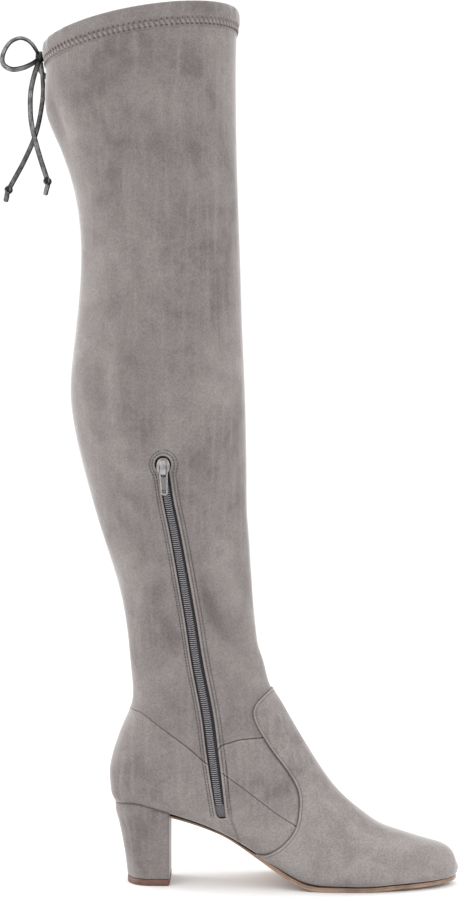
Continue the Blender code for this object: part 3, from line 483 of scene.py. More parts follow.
def cordMaterial():
    made, tree, shader = startMaterial("foldedCordLeather")
    place = addNode(tree, "ShaderNodeTexCoord", {})
    across = addNode(tree, "ShaderNodeSeparateXYZ", {0: place.outputs["UV"]}).outputs[0]
    # 0 down the middle of either face, 0.25 at the band's edges
    offMiddle = calc(tree, "ABSOLUTE", calc(tree, "SUBTRACT", calc(tree, "PINGPONG", across, 0.5), 0.25))
    # painted highlight down the middle of either face; the same mask raises the middle in the bump
    middleRidgeAndHighlight = between(tree, offMiddle, 0.0, 0.03, 1.0, 0.0)
    # painted shade on the band's edges
    rim = between(tree, offMiddle, 0.06, 0.12)
    grain = noise(tree, place.outputs["Object"], 1500.0, 3.0)
    cloud = noise(tree, place.outputs["Object"], 220.0, 2.0)
    color = mixColor(tree, between(tree, cloud, 0.35, 0.7), cord["color"], cord["light"])
    color = mixColor(tree, calc(tree, "MULTIPLY", middleRidgeAndHighlight, 0.6), color, cord["light"])
    color = mixColor(tree, rim, color, cord["dark"])
    # painted shade: the strands on the outer side, behind the near ones, are darker, and all of them darken
    # towards the knot, where its shadow falls
    outer = addNode(tree, "ShaderNodeSeparateXYZ", {0: place.outputs["Object"]}).outputs[1]
    color = mixColor(tree, between(tree, outer, 0.001, 0.004, 0.0, 0.45), color, cord["dark"])
    away = addNode(tree, "ShaderNodeVectorMath", {0: place.outputs["Object"], 1: knotCentre()},
                   operation="DISTANCE").outputs["Value"]
    color = mixColor(tree, between(tree, away, 0.004, 0.0115, 0.9, 0.0), color, cord["dark"])
    shader.inputs["Specular IOR Level"].default_value = 0.22
    height = calc(tree, "ADD", calc(tree, "MULTIPLY", grain, 0.4), middleRidgeAndHighlight)
    finishSurface(tree, shader, color, 0.45, height, 0.5, 0.0004)
    return made


cordLeather = cordMaterial()


def bandFrames(path, turns):
    # tangent, width and thickness directions along a flat band; the band faces -Y, turned by some degrees
    tangents = np.gradient(path, axis=0)
    tangents /= np.linalg.norm(tangents, axis=1)[:, None]
    frames = []
    shares = np.linspace(0.0, 1.0, len(path))
    angles = np.interp(shares, np.linspace(0.0, 1.0, len(turns)), np.radians(turns))
    for tangent, angle in zip(tangents, angles):
        run = Vector(tangent)
        side = run.cross(Vector((0.0, -1.0, 0.0))).normalized()
        side = Matrix.Rotation(angle, 3, run) @ side
        frames.append((run, side, side.cross(run).normalized()))
    return frames


def softPower(value, power):
    return math.copysign(abs(value) ** power, value)


def makeBand(name, path, turns):
    # a flat folded cord swept along the path, closed at both ends
    count = cord["around"]
    points, coords = [], []
    for index, (point, (_, side, up)) in enumerate(zip(path, bandFrames(path, turns))):
        taper = cord["endTaper"] if index in (0, len(path) - 1) else 1.0
        for number in range(count):
            angle = 2 * math.pi * number / count
            across = softPower(math.cos(angle), 0.55) * cord["width"] / 2 * taper
            over = softPower(math.sin(angle), 0.7) * cord["thickness"] / 2 * taper
            points.append(Vector(point) + side * across + up * over)
    for index in range(len(path) - 1):
        for number in range(count):
            low, high = number / count, (number + 1) / count
            coords += [(low, index), (high, index), (high, index + 1), (low, index + 1)]
    coords += [(0.0, 0.0)] * (2 * count)
    item = meshPiece(name, points, tubeFaces(len(path), count), cordLeather)
    layer = item.data.uv_layers.new(name="UVMap")
    for loop, pair in zip(layer.data, coords):
        loop.uv = pair
    outward(item)
    return smoothPiece(item, 50)


def makeRing(name, place, reach, tilt):
    # one turn of the folded cord round a knot: a flattened torus, turned and set in its place
    deselectAll()
    bpy.ops.mesh.primitive_torus_add(major_segments=40, minor_segments=12, major_radius=1.0, minor_radius=0.25)
    ring = bpy.context.object
    ring.name = name
    for vertex in ring.data.vertices:
        out = Vector((vertex.co.x, vertex.co.y, 0.0))
        thick = (out.length - 1.0) / 0.25 * cord["turnHalf"][0]
        out.normalize()
        vertex.co = (out.x * (reach + thick), out.y * (reach * 0.94 + thick),
                     vertex.co.z / 0.25 * cord["turnHalf"][1])
    ring.rotation_euler = [math.radians(value) for value in tilt]
    ring.location = place
    ring.data.materials.append(cordLeather)
    return settle(ring)


def joinPieces(name, items):
    activate(items[0])
    for item in items:
        item.select_set(True)
    bpy.context.view_layer.objects.active = items[0]
    bpy.ops.object.join()
    items[0].name = name
    items[0].data.name = name
    return items[0]


def makeKnot(name, place, size, turns):
    # a soft core with turns of the cord wrapped over it
    deselectAll()
    bpy.ops.mesh.primitive_uv_sphere_add(segments=24, ring_count=14, radius=0.5)
    core = bpy.context.object
    core.data.materials.append(cordLeather)
    core.scale = [value * 0.74 for value in size]
    core.location = place
    reach = min(size) / 2 - cord["turnHalf"][0]
    rings = [makeRing(name + str(number), place, reach, tilt) for number, tilt in enumerate(turns)]
    return smoothPiece(joinPieces(name, [settle(core)] + rings), 60)


def startCord(name, points):
    # a flat cord from the knot, cut off where it goes into it
    centre = np.array(knotCentre())
    path = curveThrough([centre] + points, cord["spacing"])
    keep = [index for index, point in enumerate(path) if np.linalg.norm(point - centre) > cord["insideKnot"]]
    path = path[keep[0]:keep[-1] + 1]
    return makeBand(name, path, cordTurns[name]), path


def finishCord(band, path, farEnd, carried, *nodes):
    placePiece(band, "boot", "cord_leather", *nodes)


def makeBow():
    centre = knotCentre()
    near, far = [startCord("bowLoop" + end, [cordPoint(point) for point in route] + [centre])
                 for end, route in (("Near", nearLoop), ("Far", farLoop))]
    knot = makeKnot("bowKnot", centre, cord["knotSize"], ((90, 20, 0), (70, -30, 40), (20, 75, 10), (0, 90, 0)))
    placePiece(knot, "boot", "cord_leather", "bow_knot")
    finishCord(*near, "object", [knot], "bow_loop_near")
    finishCord(*far, "object", [], "bow_loop_far")
    paths = {"bowLoopNear": near[1], "bowLoopFar": far[1]}
    for end, route, tipKnot, tip in (("Near", nearTail, nearTipKnot, nearTip),
                                     ("Far", farTail, farTipKnot, farTip)):
        tail = startCord("bowTail" + end, [cordPoint(point) for point in route + [tipKnot] + tip])
        small = makeKnot("tailKnot" + end, cordPoint(tipKnot), cord["tipKnotSize"],
                         ((70, 20, 0), (15, 60, 30), (90, 0, 75)))
        placePiece(small, "boot", "cord_leather", "tail_knot_" + end.lower())
        finishCord(*tail, "knot", [small], "bow_tail_" + end.lower(), "bow_tip_" + end.lower())
        paths["bowTail" + end] = tail[1]
    return paths


cordPaths = makeBow()
print("bow and its cords made")

# ---- finishes of the boot

suede = {
    "color": (0.176, 0.157, 0.152, 1.0),
    "dark": (0.134, 0.118, 0.115, 1.0),
    "light": (0.218, 0.200, 0.193, 1.0),
    # line is the painted shadow colour of seams, grooves and fold troughs, and the colour after it the painted
    # highlight of ridges and folded edges
    "line": (0.045, 0.037, 0.037, 1.0),
    "paintedHighlight": (0.33, 0.30, 0.29, 1.0),
    "patchScale": 15.0,
    "cloudScale": 75.0,
    "streakScale": 210.0,
    "napScale": 800.0,
    "patchShare": 0.72,
    "streaks": 0.50,
}


def suedeMaterial(name, darken=1.0):
    made, tree, shader = startMaterial(name)
    place = objectPlace(tree)
    patches = noise(tree, place, suede["patchScale"], 3.0, 0.8)
    clouds = noise(tree, place, suede["cloudScale"], 4.0, 0.5)
    streaks = noise(tree, mapped(tree, place, (1.0, 1.0, 0.07)), suede["streakScale"], 2.0)
    nap = noise(tree, place, suede["napScale"], 3.0)
    tone = calc(tree, "ADD", calc(tree, "MULTIPLY", patches, suede["patchShare"]),
                calc(tree, "MULTIPLY", clouds, 1.0 - suede["patchShare"]))

    def shaded(color):
        return tuple(value * darken for value in color[:3]) + (1.0,)

    color = mixColor(tree, between(tree, tone, 0.36, 0.50), shaded(suede["dark"]), shaded(suede["color"]))
    color = mixColor(tree, between(tree, tone, 0.48, 0.66), color, shaded(suede["light"]))
    color = mixColor(tree, calc(tree, "MULTIPLY", between(tree, streaks, 0.45, 0.75), suede["streaks"]), color,
                     shaded(suede["light"]))
    grain = between(tree, nap, 0.25, 0.75, 0.83, 1.17)
    grey = addNode(tree, "ShaderNodeCombineColor", {0: grain, 1: grain, 2: grain}).outputs[0]
    color = mixColor(tree, 1.0, color, grey, "MULTIPLY")
    # painted shadow below 0 and painted highlight above 0, from the shade attribute
    shade = attribute(tree, "shade")
    color = mixColor(tree, between(tree, shade, 0.0, -1.0), color, suede["line"])
    color = mixColor(tree, between(tree, shade, 0.0, 1.0, 0.0, 0.8), color, suede["paintedHighlight"])
    shader.inputs["Specular IOR Level"].default_value = 0.18
    shader.inputs["Sheen Weight"].default_value = 0.85
    shader.inputs["Sheen Roughness"].default_value = 0.30
    shader.inputs["Sheen Tint"].default_value = (0.95, 0.93, 0.92, 1.0)
    height = calc(tree, "ADD", calc(tree, "MULTIPLY", nap, 0.55), calc(tree, "MULTIPLY", clouds, 0.9))
    finishSurface(tree, shader, color, 0.92, height, 0.35, 0.0006)
    return made


def liningMaterial():
    made, tree, shader = startMaterial("shaftLining")
    place = objectPlace(tree)
    weave = noise(tree, mapped(tree, place, (1.0, 1.0, 0.35)), 1600.0, 2.0)
    cloud = noise(tree, place, 30.0, 3.0)
    color = mixColor(tree, between(tree, cloud, 0.3, 0.7), (0.20, 0.18, 0.17, 1.0), (0.25, 0.225, 0.21, 1.0))
    color = mixColor(tree, between(tree, weave, 0.4, 0.8, 0.0, 0.35), color, (0.16, 0.145, 0.14, 1.0))
    finishSurface(tree, shader, color, 0.85, weave, 0.25, 0.0003)
    return made


shaftSuede = suedeMaterial("shaftSuede")
upperSuede = suedeMaterial("upperSuede", 1.14)
vampSuede = suedeMaterial("vampSuede", 1.23)
heelSuede = suedeMaterial("heelSuede", 1.10)
lining = liningMaterial()
print("suede and lining made")

# ---- the last's fine form: rings of the solids' sections with a smooth spline between them

form = {"step": 0.0025, "around": 148, "toeDome": (0.03, 0.2, 0.36, 0.52, 0.68, 0.84), "domeLean": 1.4}


def splineRead(keys, values, places):
    # natural cubic spline through the rows
    count = len(keys)
    step = np.diff(keys)
    system = np.eye(count)
    right = np.zeros_like(values)
    for i in range(1, count - 1):
        system[i, i - 1], system[i, i], system[i, i + 1] = step[i - 1], 2 * (step[i - 1] + step[i]), step[i]
        right[i] = 6 * ((values[i + 1] - values[i]) / step[i] - (values[i] - values[i - 1]) / step[i - 1])
    bend = np.linalg.solve(system, right)
    index = np.clip(np.searchsorted(keys, places, side="right") - 1, 0, count - 2)
    left = (places - keys[index])[:, None]
    rest = (keys[index + 1] - places)[:, None]
    width = step[index][:, None]
    return ((bend[index] * rest ** 3 + bend[index + 1] * left ** 3) / (6 * width)
            + (values[index] / width - bend[index] * width / 6) * rest
            + (values[index + 1] / width - bend[index + 1] * width / 6) * left)


def quarterRing(power, along, out, count):
    # a quarter of a superellipse from its end to its side, at even steps
    angle = np.linspace(0.0, math.pi / 2, 160)
    cosine, sine = np.cos(angle), np.sin(angle)
    reach = (cosine ** power + sine ** power) ** (-1.0 / power)
    u, v = reach * cosine, reach * sine
    runs = pathRuns(np.stack([u * along, v * out], axis=1))
    targets = np.linspace(0.0, runs[-1], count + 1)
    return np.interp(targets, runs, u), np.interp(targets, runs, v)


def ringPoints(shape, around, crown=0.0):
    lowX, lowZ, highX, highZ, half, lowSide, highSide, widest, lowSquare, highSquare = shape
    quarter = around // 4
    height = math.hypot(highX - lowX, highZ - lowZ)
    u0, v0 = quarterRing(lowSquare, height * widest, half, quarter)
    u1, v1 = quarterRing(highSquare, height * (1 - widest), half, quarter)
    up = np.concatenate([widest * (1 - u0), (widest + (1 - widest) * u1[::-1])[1:]])
    out = np.concatenate([v0, v1[::-1][1:]])
    share = np.concatenate([up, up[::-1][1:-1]])
    out = np.concatenate([out, -out[::-1][1:-1]])
    return np.stack([lowX + (highX - lowX) * share, lowSide + (highSide - lowSide) * share + half * out,
                     lowZ + (highZ - lowZ) * share + crown * np.sin(math.pi * share)], axis=1)


def makeForm():
    rows = np.array(sectionRows())
    low = np.linalg.norm(np.diff(rows[:, 0:2], axis=0), axis=1)
    high = np.linalg.norm(np.diff(rows[:, 2:4], axis=0), axis=1)
    keys = np.concatenate([[0.0], np.cumsum((low + high) / 2 + 0.3 * np.abs(np.diff(rows[:, 4])))])
    places = []
    for index in range(len(keys) - 1):
        steps = max(2, math.ceil(max(low[index], high[index]) / form["step"]))
        places += list(keys[index] + (keys[index + 1] - keys[index]) * np.arange(steps) / steps)
    places = np.array(places + [keys[-1]])
    # the collar's line is slightly arched from back to front
    crowns = last["collarCrown"] * np.clip((places - keys[-2]) / (keys[-1] - keys[-2]), 0.0, 1.0)
    rings = [ringPoints(shape, form["around"], crown)
             for shape, crown in zip(splineRead(keys, rows, places), crowns)]
    # the toe closes over its last ring in a small dome
    pole = np.array([footX(1.0), rows[0][5], (rows[0][1] + rows[0][3]) / 2])
    dome = []
    for share in form["toeDome"]:
        ring = pole + (rings[0] - pole) * share
        ring[:, 0] = pole[0] + (rings[0][:, 0] - pole[0]) * share ** form["domeLean"]
        dome.append(ring)
    return np.array(dome + rings), keys


def formNormals(rings):
    along = np.gradient(rings, axis=0)
    around = np.roll(rings, -1, axis=1) - np.roll(rings, 1, axis=1)
    normals = np.cross(along, around)
    normals /= np.maximum(np.linalg.norm(normals, axis=2), 1e-12)[:, :, None]
    centre = rings.mean(axis=1, keepdims=True)
    if ((rings - centre) * normals).sum() < 0:
        normals = -normals
    normals[0] = (1.0, 0.0, 0.0)
    return normals


rings, rowKeys = makeForm()
normals = formNormals(rings)
ringCount, aroundCount = rings.shape[:2]


def facesFlip():
    a, b, c = rings[100, 10], rings[100, 11], rings[101, 11]
    return np.dot(np.cross(b - a, c - a), normals[100, 10]) < 0


flipFaces = facesFlip()
formFaces = gridFaces(ringCount, aroundCount, flipFaces)
allFaces = formFaces.tolist()


def ringTree(points):
    return BVHTree.FromPolygons(points.reshape(-1, 3).tolist(), allFaces)


formTree = ringTree(rings)


def onSide(tree, x, z, side=-1):
    # the point of a surface that faces the inner (-1) or outer (1) side at this place
    hit = tree.ray_cast(Vector((x, side * 0.4, z)), Vector((0.0, -side, 0.0)))
    return (hit[0], hit[1]) if hit[0] is not None else (None, None)


def lineField(points, line):
    # signed distance in the side view (plus is left of the run), and the run of the nearest point
    best = np.full(len(points), 9.0)
    sign = np.ones(len(points))
    run = np.zeros(len(points))
    walked = 0.0
    for first, second in zip(line[:-1], line[1:]):
        step = second - first
        length = math.hypot(*step)
        offset = points - first
        share = np.clip((offset @ step) / length ** 2, 0.0, 1.0)
        away = offset - share[:, None] * step
        distance = np.hypot(away[:, 0], away[:, 1])
        nearer = distance < best - 1e-9
        cross = step[0] * offset[:, 1] - step[1] * offset[:, 0]
        best[nearer] = distance[nearer]
        sign[nearer] = np.where(cross[nearer] >= 0, 1.0, -1.0)
        run[nearer] = walked + share[nearer] * length
        walked += length
    return best * sign, run


def zipPoints():
    return curveThrough([(last["legAxis"] + front * last["ankleDepth"],
                          last["heelHeight"] + up * last["legHeight"]) for front, up in zipLine], 0.001)


zipCentre = zipPoints()
zipper = {
    "roundHead": 0.0116,
    "footCorner": 0.0018,
    "tapeWidth": 0.0190,
    "toothPitch": 0.00150,
    "toothReach": 0.0027,
    "toothShift": 0.0004,
    "teethStart": 0.0096,
    "teethEnd": 0.0035,
    "tapeDepth": 0.0023,
}
zipLength = float(pathRuns(zipCentre)[-1])
# distance from the zip's foot and width of the slot
slotWidths = [(0.0, 0.0066), (0.0101, 0.0071), (0.0289, 0.0080), (0.0419, 0.0084), (0.0563, 0.0087),
              (zipLength, 0.0073)]


def slotHalf(run):
    return np.interp(run, [row[0] for row in slotWidths], [row[1] for row in slotWidths]) / 2


def unit(step):
    return step / np.linalg.norm(step)


def leftOf(step):
    return np.array([-step[1], step[0]])


def zipField(points):
    # distance from the slot's edge, plus outside it, and on which side of the zip the point lies
    radius = zipper["roundHead"] / 2
    headCentre = zipCentre[-1] - unit(zipCentre[-1] - zipCentre[-6]) * radius
    signed, run = lineField(points, zipCentre[:-13])
    straight = np.abs(signed) - slotHalf(run)
    footRun = unit(zipCentre[4] - zipCentre[0])
    offset = points - zipCentre[0]
    beyond = -(offset @ footRun)
    across = footRun[0] * offset[:, 1] - footRun[1] * offset[:, 0]
    square = np.maximum(np.abs(across) - slotHalf(0.0), beyond)
    straight = np.where(beyond > 0, square, straight)
    # the foot's rear corner is cut off
    straight = np.maximum(straight, (across - slotHalf(0.0) + beyond + zipper["footCorner"]) / math.sqrt(2))
    distance = np.hypot(*(points - headCentre).T)
    return np.minimum(straight, distance - radius), np.where(signed >= 0, 1.0, -1.0)


# soft folds: side (-1 inner, 1 outer, 0 both), points in the side view, width, depth
folds = [
    (-1, [(0.0300, 0.2440), (0.0400, 0.2150), (0.0520, 0.1880), (0.0680, 0.1700)], 0.0070, 0.0016),
    (-1, [(0.0520, 0.2350), (0.0620, 0.2080), (0.0740, 0.1860)], 0.0055, -0.0009),
    (-1, [(-0.0060, 0.2760), (-0.0040, 0.2500), (0.0010, 0.2250)], 0.0060, 0.0008),
    (-1, [(-0.0680, 0.5660), (-0.0640, 0.5480), (-0.0580, 0.5340)], 0.0060, 0.0010),
    (-1, [(-0.0640, 0.5960), (-0.0500, 0.5760), (-0.0380, 0.5500)], 0.0100, 0.0004),
    (-1, [(-0.0320, 0.3900), (-0.0300, 0.3500), (-0.0270, 0.3100)], 0.0090, 0.0008),
    (-1, [(0.0100, 0.5450), (0.0300, 0.5250), (0.0500, 0.5150)], 0.0120, 0.0007),
    (-1, [(0.0180, 0.1500), (0.0050, 0.1400), (-0.0060, 0.1340)], 0.0060, 0.0006),
    (0, [(0.0820, 0.1800), (0.0740, 0.1660), (0.0660, 0.1560)], 0.0060, 0.0003),
    (0, [(0.0790, 0.2140), (0.0700, 0.2020), (0.0600, 0.1940)], 0.0060, 0.0002),
    (1, [(0.0300, 0.2300), (0.0450, 0.2050), (0.0650, 0.1850)], 0.0070, 0.0014),
    (1, [(-0.0550, 0.5500), (-0.0400, 0.5300), (-0.0200, 0.5200)], 0.0080, 0.0012),
    (1, [(0.0000, 0.1650), (0.0150, 0.1480), (0.0350, 0.1420)], 0.0070, 0.0010),
    (0, [(0.1080, 0.0780), (0.1200, 0.0560), (0.1240, 0.0380)], 0.0100, 0.0002),
    (0, [(0.1260, 0.0740), (0.1400, 0.0520), (0.1460, 0.0340)], 0.0100, 0.0002),
]


def foldMoves(points, zipGap):
    side = points[:, [0, 2]]
    total = np.zeros(len(points))
    for where, line, width, depth in folds:
        path = curveThrough(line, 0.002)
        distance, run = lineField(side, path)
        taper = np.sin(math.pi * np.clip(run / pathRuns(path)[-1], 0.02, 0.98)) ** 0.5
        trough = -2.3 * depth * np.exp(-(distance / width) ** 2)
        ridge = 0.85 * depth * np.exp(-((np.abs(distance) - 1.7 * width) / width) ** 2)
        weight = ease(where * points[:, 1] / 0.010) if where else 1.0
        total += (trough + ridge) * taper * weight
    calm = np.clip((zipGap - 0.001) / 0.008, 0.0, 1.0)
    return total * calm


# a seam of the inner side is this far from every point of the outer side
farAway = 0.09
# columns of a sheet's values: place 0-2, normal 3-5, then the fields
column = {"shaft": 6, "vamp": 7, "zip": 8, "zipSide": 9, "quarter": 10, "side": 11, "drop": 12, "shade": 13}
quarterSeam = curveThrough([(0.0500, 0.0865), (0.0578, 0.0808), (0.0697, 0.0723), (0.0875, 0.0589),
                            (0.0960, 0.0530), (0.1066, 0.0466), (0.1140, 0.0410)], 0.001)
sideSeam = curveThrough([(0.0565, 0.0930), (0.0576, 0.0800), (0.0597, 0.0545), (0.0647, 0.0388),
                         (0.0670, 0.0300)], 0.001)


def rimHeight(x):
    rim = sectionRows()[-1]
    share = np.clip((x - rim[0]) / (rim[2] - rim[0]), 0.0, 1.0)
    return rim[1] + (rim[3] - rim[1]) * share + last["collarCrown"] * np.sin(math.pi * share)


def sheetValues():
    flat = rings.reshape(-1, 3)
    flatNormals = normals.reshape(-1, 3)
    side = flat[:, [0, 2]]
    inner = flat[:, 1] < 0
    zipGap, zipSide = zipField(side)
    zipGap = np.where(inner, zipGap, farAway)
    fields = {
        "shaft": np.where(inner, *[lineField(side, footLine(shaftEdge, start))[0] for start in (0, 2)]),
        "vamp": lineField(side, footLine(vampEdge))[0],
        "zip": zipGap,
        "zipSide": zipSide,
        "quarter": np.where(inner, lineField(side, quarterSeam)[0], farAway),
        "side": np.where(inner, lineField(side, sideSeam)[0], farAway),
        "drop": rimHeight(flat[:, 0]) - flat[:, 2],
    }
    values = np.zeros((len(flat), 14))
    values[:, 0:3] = flat
    values[:, 3:6] = flatNormals
    for name, field in fields.items():
        values[:, column[name]] = field
    moves = foldMoves(flat, zipGap)
    values[:, 0:3] += flatNormals * moves[:, None]
    # painted shade in a fold's trough and a painted highlight on its ridge
    values[:, column["shade"]] += np.clip(moves / 0.0016 * 0.20, -0.42, 0.35)
    return values


def splitAt(values, faces, field, level, keep=None, near=0.006):
    # cuts the faces along a field's level line; keep 1 or -1 drops what lies below or above it
    side = values[:, field] - level
    side[np.abs(side) < 2e-5] = 0.0
    made, extra, result = {}, [], []

    def crossing(a, b):
        key = (a, b) if a < b else (b, a)
        if key not in made:
            share = side[key[0]] / (side[key[0]] - side[key[1]])
            extra.append(values[key[0]] * (1 - share) + values[key[1]] * share)
            made[key] = len(values) + len(extra) - 1
        return made[key]

    for face in faces:
        marks = [side[i] for i in face]
        low, high = min(marks), max(marks)
        if low >= 0.0 or high <= 0.0 or low < -near or high > near:
            if keep is None or (sum(marks) * keep > 0):
                result.append(face)
            continue
        upper, lower = [], []
        for first, second in zip(face, face[1:] + face[:1]):
            if side[first] >= 0:
                upper.append(first)
            if side[first] <= 0:
                lower.append(first)
            if side[first] * side[second] < 0:
                point = crossing(first, second)
                upper.append(point)
                lower.append(point)
        if len(upper) > 2 and keep != -1:
            result.append(upper)
        if len(lower) > 2 and keep != 1:
            result.append(lower)
    if extra:
        values = np.vstack([values, np.array(extra)])
    return values, result


def bell(distance, centre, width):
    return np.exp(-((distance - centre) / width) ** 2)


def usedOnly(values, faces):
    used = sorted({index for face in faces for index in face})
    renumber = {old: new for new, old in enumerate(used)}
    return values[used], [[renumber[index] for index in face] for face in faces]


def sheetPiece(name, values, faces, finish, thickness, inner):
    values, faces = usedOnly(values, faces)
    item = meshPiece(name, values[:, 0:3], faces, finish)
    item.data.materials.append(inner)
    setShade(item, values[:, column["shade"]])
    applyModifier(item, "SOLIDIFY", thickness=thickness, offset=-1.0, use_even_offset=False,
                  material_offset=1, material_offset_rim=0)
    return smoothPiece(item, 55)


stitch = {"zipLeft": (0.0018, 0.0036), "zipRight": (0.0022, 0.0044), "vamp": 0.0021}


def zipEdge(values):
    # the folded edge of the slot and the sewn channels beside it
    gap = values[:, column["zip"]]
    left = values[:, column["zipSide"]] > 0
    first = np.where(left, stitch["zipLeft"][0], stitch["zipRight"][0])
    second = np.where(left, stitch["zipLeft"][1], stitch["zipRight"][1])
    # the sewn rows stop at the slot's foot
    footRun = unit(zipCentre[4] - zipCentre[0])
    sewn = np.clip(((values[:, [0, 2]] - zipCentre[0]) @ footRun) / 0.0015, 0.0, 1.0)
    move = -0.00055 * np.clip(1 - gap / 0.0007, 0.0, 1.0) ** 2
    move += 0.00022 * bell(gap, 0.0010, 0.0005)
    move -= 0.00022 * sewn * (bell(gap, first, 0.00045) + bell(gap, second, 0.00045))
    move += 0.00012 * bell(gap, (first + second) / 2, 0.0007)
    values[:, 0:3] += values[:, 3:6] * move[:, None]
    # a painted highlight along the slot's folded edge and painted shade in the sewn channels
    values[:, column["shade"]] += 0.62 * bell(gap, 0.00075, 0.00055)
    values[:, column["shade"]] -= 0.45 * sewn * (bell(gap, first, 0.00050) + bell(gap, second, 0.00050))


def seamEdge(values, field, width=0.0008, depth=0.00055, dark=0.8):
    # a cut edge rolls in where it meets the next piece, with a painted shadow line in the seam and a painted
    # highlight on the roll beside it
    gap = np.abs(values[:, field])
    move = -depth * np.clip(1 - gap / width, 0.0, 1.0) ** 2 + 0.00012 * bell(gap, 0.0013, 0.0006)
    values[:, 0:3] += values[:, 3:6] * move[:, None]
    values[:, column["shade"]] -= dark * bell(gap, 0.0, 0.00035)
    values[:, column["shade"]] += 0.22 * bell(gap, 0.0012, 0.0005)


def seamShadowStrength(values):
    # the painted shadow of the counter's seam is faint at the back and stronger towards the zip
    return 0.15 + 0.65 * np.clip((values[:, 0] + 0.010) / 0.050, 0.0, 1.0)


# distances from each edge where a sheet is cut finer, so that its grooves have points to follow
levels = {
    "zip": (0.0003, 0.0007, 0.0011, 0.0016, 0.0021, 0.0026, 0.0032, 0.0038, 0.0044, 0.0050, 0.0057),
    "shaft": (0.0004, 0.0008, 0.0014),
    "seam": (0.0, 0.0004, -0.0004, 0.0008, -0.0008, 0.0014, -0.0014),
    "vamp": (0.0003, 0.0006, 0.0010, 0.0014, 0.0018, 0.0022, 0.0027, 0.0034),
}


def splitAll(values, faces, field, places, near=0.006):
    for level in places:
        values, faces = splitAt(values, faces, column[field], level, near=near)
    return values, faces


def cutZip(values, faces):
    values, faces = splitAt(values, faces, column["zip"], 0.0, keep=1)
    return splitAll(values, faces, "zip", levels["zip"])


skin = {"thickness": 0.0015, "seamGap": 0.00012, "underRim": 0.0014, "vampLift": 0.0004, "vampRise": 0.0009,
        "vampThickness": 0.0003}


def makeSkins():
    base = sheetValues()

    # shaft: over its lower seam, below the collar's fold, with the zip's slot
    shaftFaces = [face for face in allFaces if max(base[i, column["shaft"]] for i in face) > 0]
    values, faces = splitAt(base, shaftFaces, column["shaft"], skin["seamGap"], keep=1)
    values, faces = splitAll(values, faces, "shaft", levels["shaft"])
    values, faces = splitAt(values, faces, column["drop"], skin["underRim"], keep=1)
    values, faces = cutZip(values, faces)
    seamEdge(values, column["shaft"], dark=seamShadowStrength(values))
    zipEdge(values)
    shaft = sheetPiece("shaftSkin", values, faces, shaftSuede, skin["thickness"], lining)
    placePiece(shaft, "boot", "suede", "shaft")

    # upper: quarters and counter, with two drawn seams
    upperFaces = [face for face in allFaces if min(base[i, column["shaft"]] for i in face) < 0]
    values, faces = splitAt(base, upperFaces, column["shaft"], -skin["seamGap"], keep=-1)
    values, faces = splitAll(values, faces, "shaft", [-level for level in levels["shaft"]])
    values, faces = cutZip(values, faces)
    for field in ("quarter", "side", "vamp"):
        values, faces = splitAll(values, faces, field, levels["seam"], 0.005)
    seamEdge(values, column["shaft"], dark=seamShadowStrength(values))
    # a painted shadow that the overlay casts on the upper beside it
    values[:, column["shade"]] -= 0.55 * bell(values[:, column["vamp"]], 0.0, 0.0011)
    seamEdge(values, column["quarter"], 0.0007, 0.00040)
    seamEdge(values, column["side"], 0.0007, 0.00015, 0.50)
    zipEdge(values)
    cap = list(range(aroundCount)) if flipFaces else list(range(aroundCount))[::-1]
    faces.append(cap)
    upper = sheetPiece("upperSkin", values, faces, upperSuede, skin["thickness"], lining)
    placePiece(upper, "boot", "suede", "upper")

    # vamp overlay, a step over the upper with a corded edge
    vampFaces = [face for face in allFaces if max(base[i, column["vamp"]] for i in face) > 0]
    values, faces = splitAt(base.copy(), vampFaces, column["vamp"], 0.0, keep=1)
    values, faces = splitAll(values, faces, "vamp", levels["vamp"])
    gap = values[:, column["vamp"]]
    rise = np.sqrt(1 - (1 - np.clip(gap / 0.0009, 0.0, 1.0)) ** 2)
    move = skin["vampLift"] + skin["vampRise"] * rise + 0.00022 * bell(gap, 0.0011, 0.0005)
    move -= 0.00026 * bell(gap, stitch["vamp"], 0.00045)
    values[:, 0:3] += values[:, 3:6] * move[:, None]
    # painted shadow at the edge, a painted highlight on the corded ridge and painted shade in the stitch channel
    values[:, column["shade"]] += (-0.85 * bell(gap, 0.0, 0.00035) + 0.45 * bell(gap, 0.0011, 0.0005)
                                  - 0.40 * bell(gap, stitch["vamp"], 0.0004))
    faces.append(cap)
    vamp = sheetPiece("vampSkin", values, faces, vampSuede, skin["vampThickness"], vampSuede)
    placePiece(vamp, "boot", "vamp_suede", "vamp")
    return shaft, upper, vamp


shaftSkin, upperSkin, vampSkin = makeSkins()
print("shaft, upper and vamp made")


def treeOf(item):
    return BVHTree.FromObject(item, bpy.context.evaluated_depsgraph_get())


shaftTree, upperTree, vampTree = treeOf(shaftSkin), treeOf(upperSkin), treeOf(vampSkin)

# ---- casing round the collar, puffed between its two sewn rows

# rows are millimetres below the rim
casing = {"around": 960, "pucker": 0.00045, "pitch": 0.0037, "upperRow": 12.2, "middle": 14.4, "lowerRow": 16.5,
          "hem": 17.3, "tallStitch": (0.0012, 0.0031, 0.0004), "lowStitch": (0.0017, 0.0021, 0.0004)}
# millimetres below the rim and off the shaft's surface, from the lower edge over the rim to the inside
casingProfile = [
    (18.0, 0.12), (17.8, 0.30), (17.4, 0.48), (17.0, 0.55), (16.5, 0.46), (16.0, 0.72), (15.2, 1.08),
    (14.3, 1.22), (13.4, 1.12), (12.8, 0.95), (12.2, 0.82), (11.6, 1.12), (10.8, 1.60), (9.2, 2.00),
    (7.0, 2.15), (4.6, 2.08), (2.8, 1.78), (1.4, 1.26), (0.5, 0.58), (0.05, -0.30), (0.4, -1.40), (1.6, -2.10),
    (4.0, -2.35), (9.0, -2.30), (17.1, -2.20), (17.5, -1.95),
]


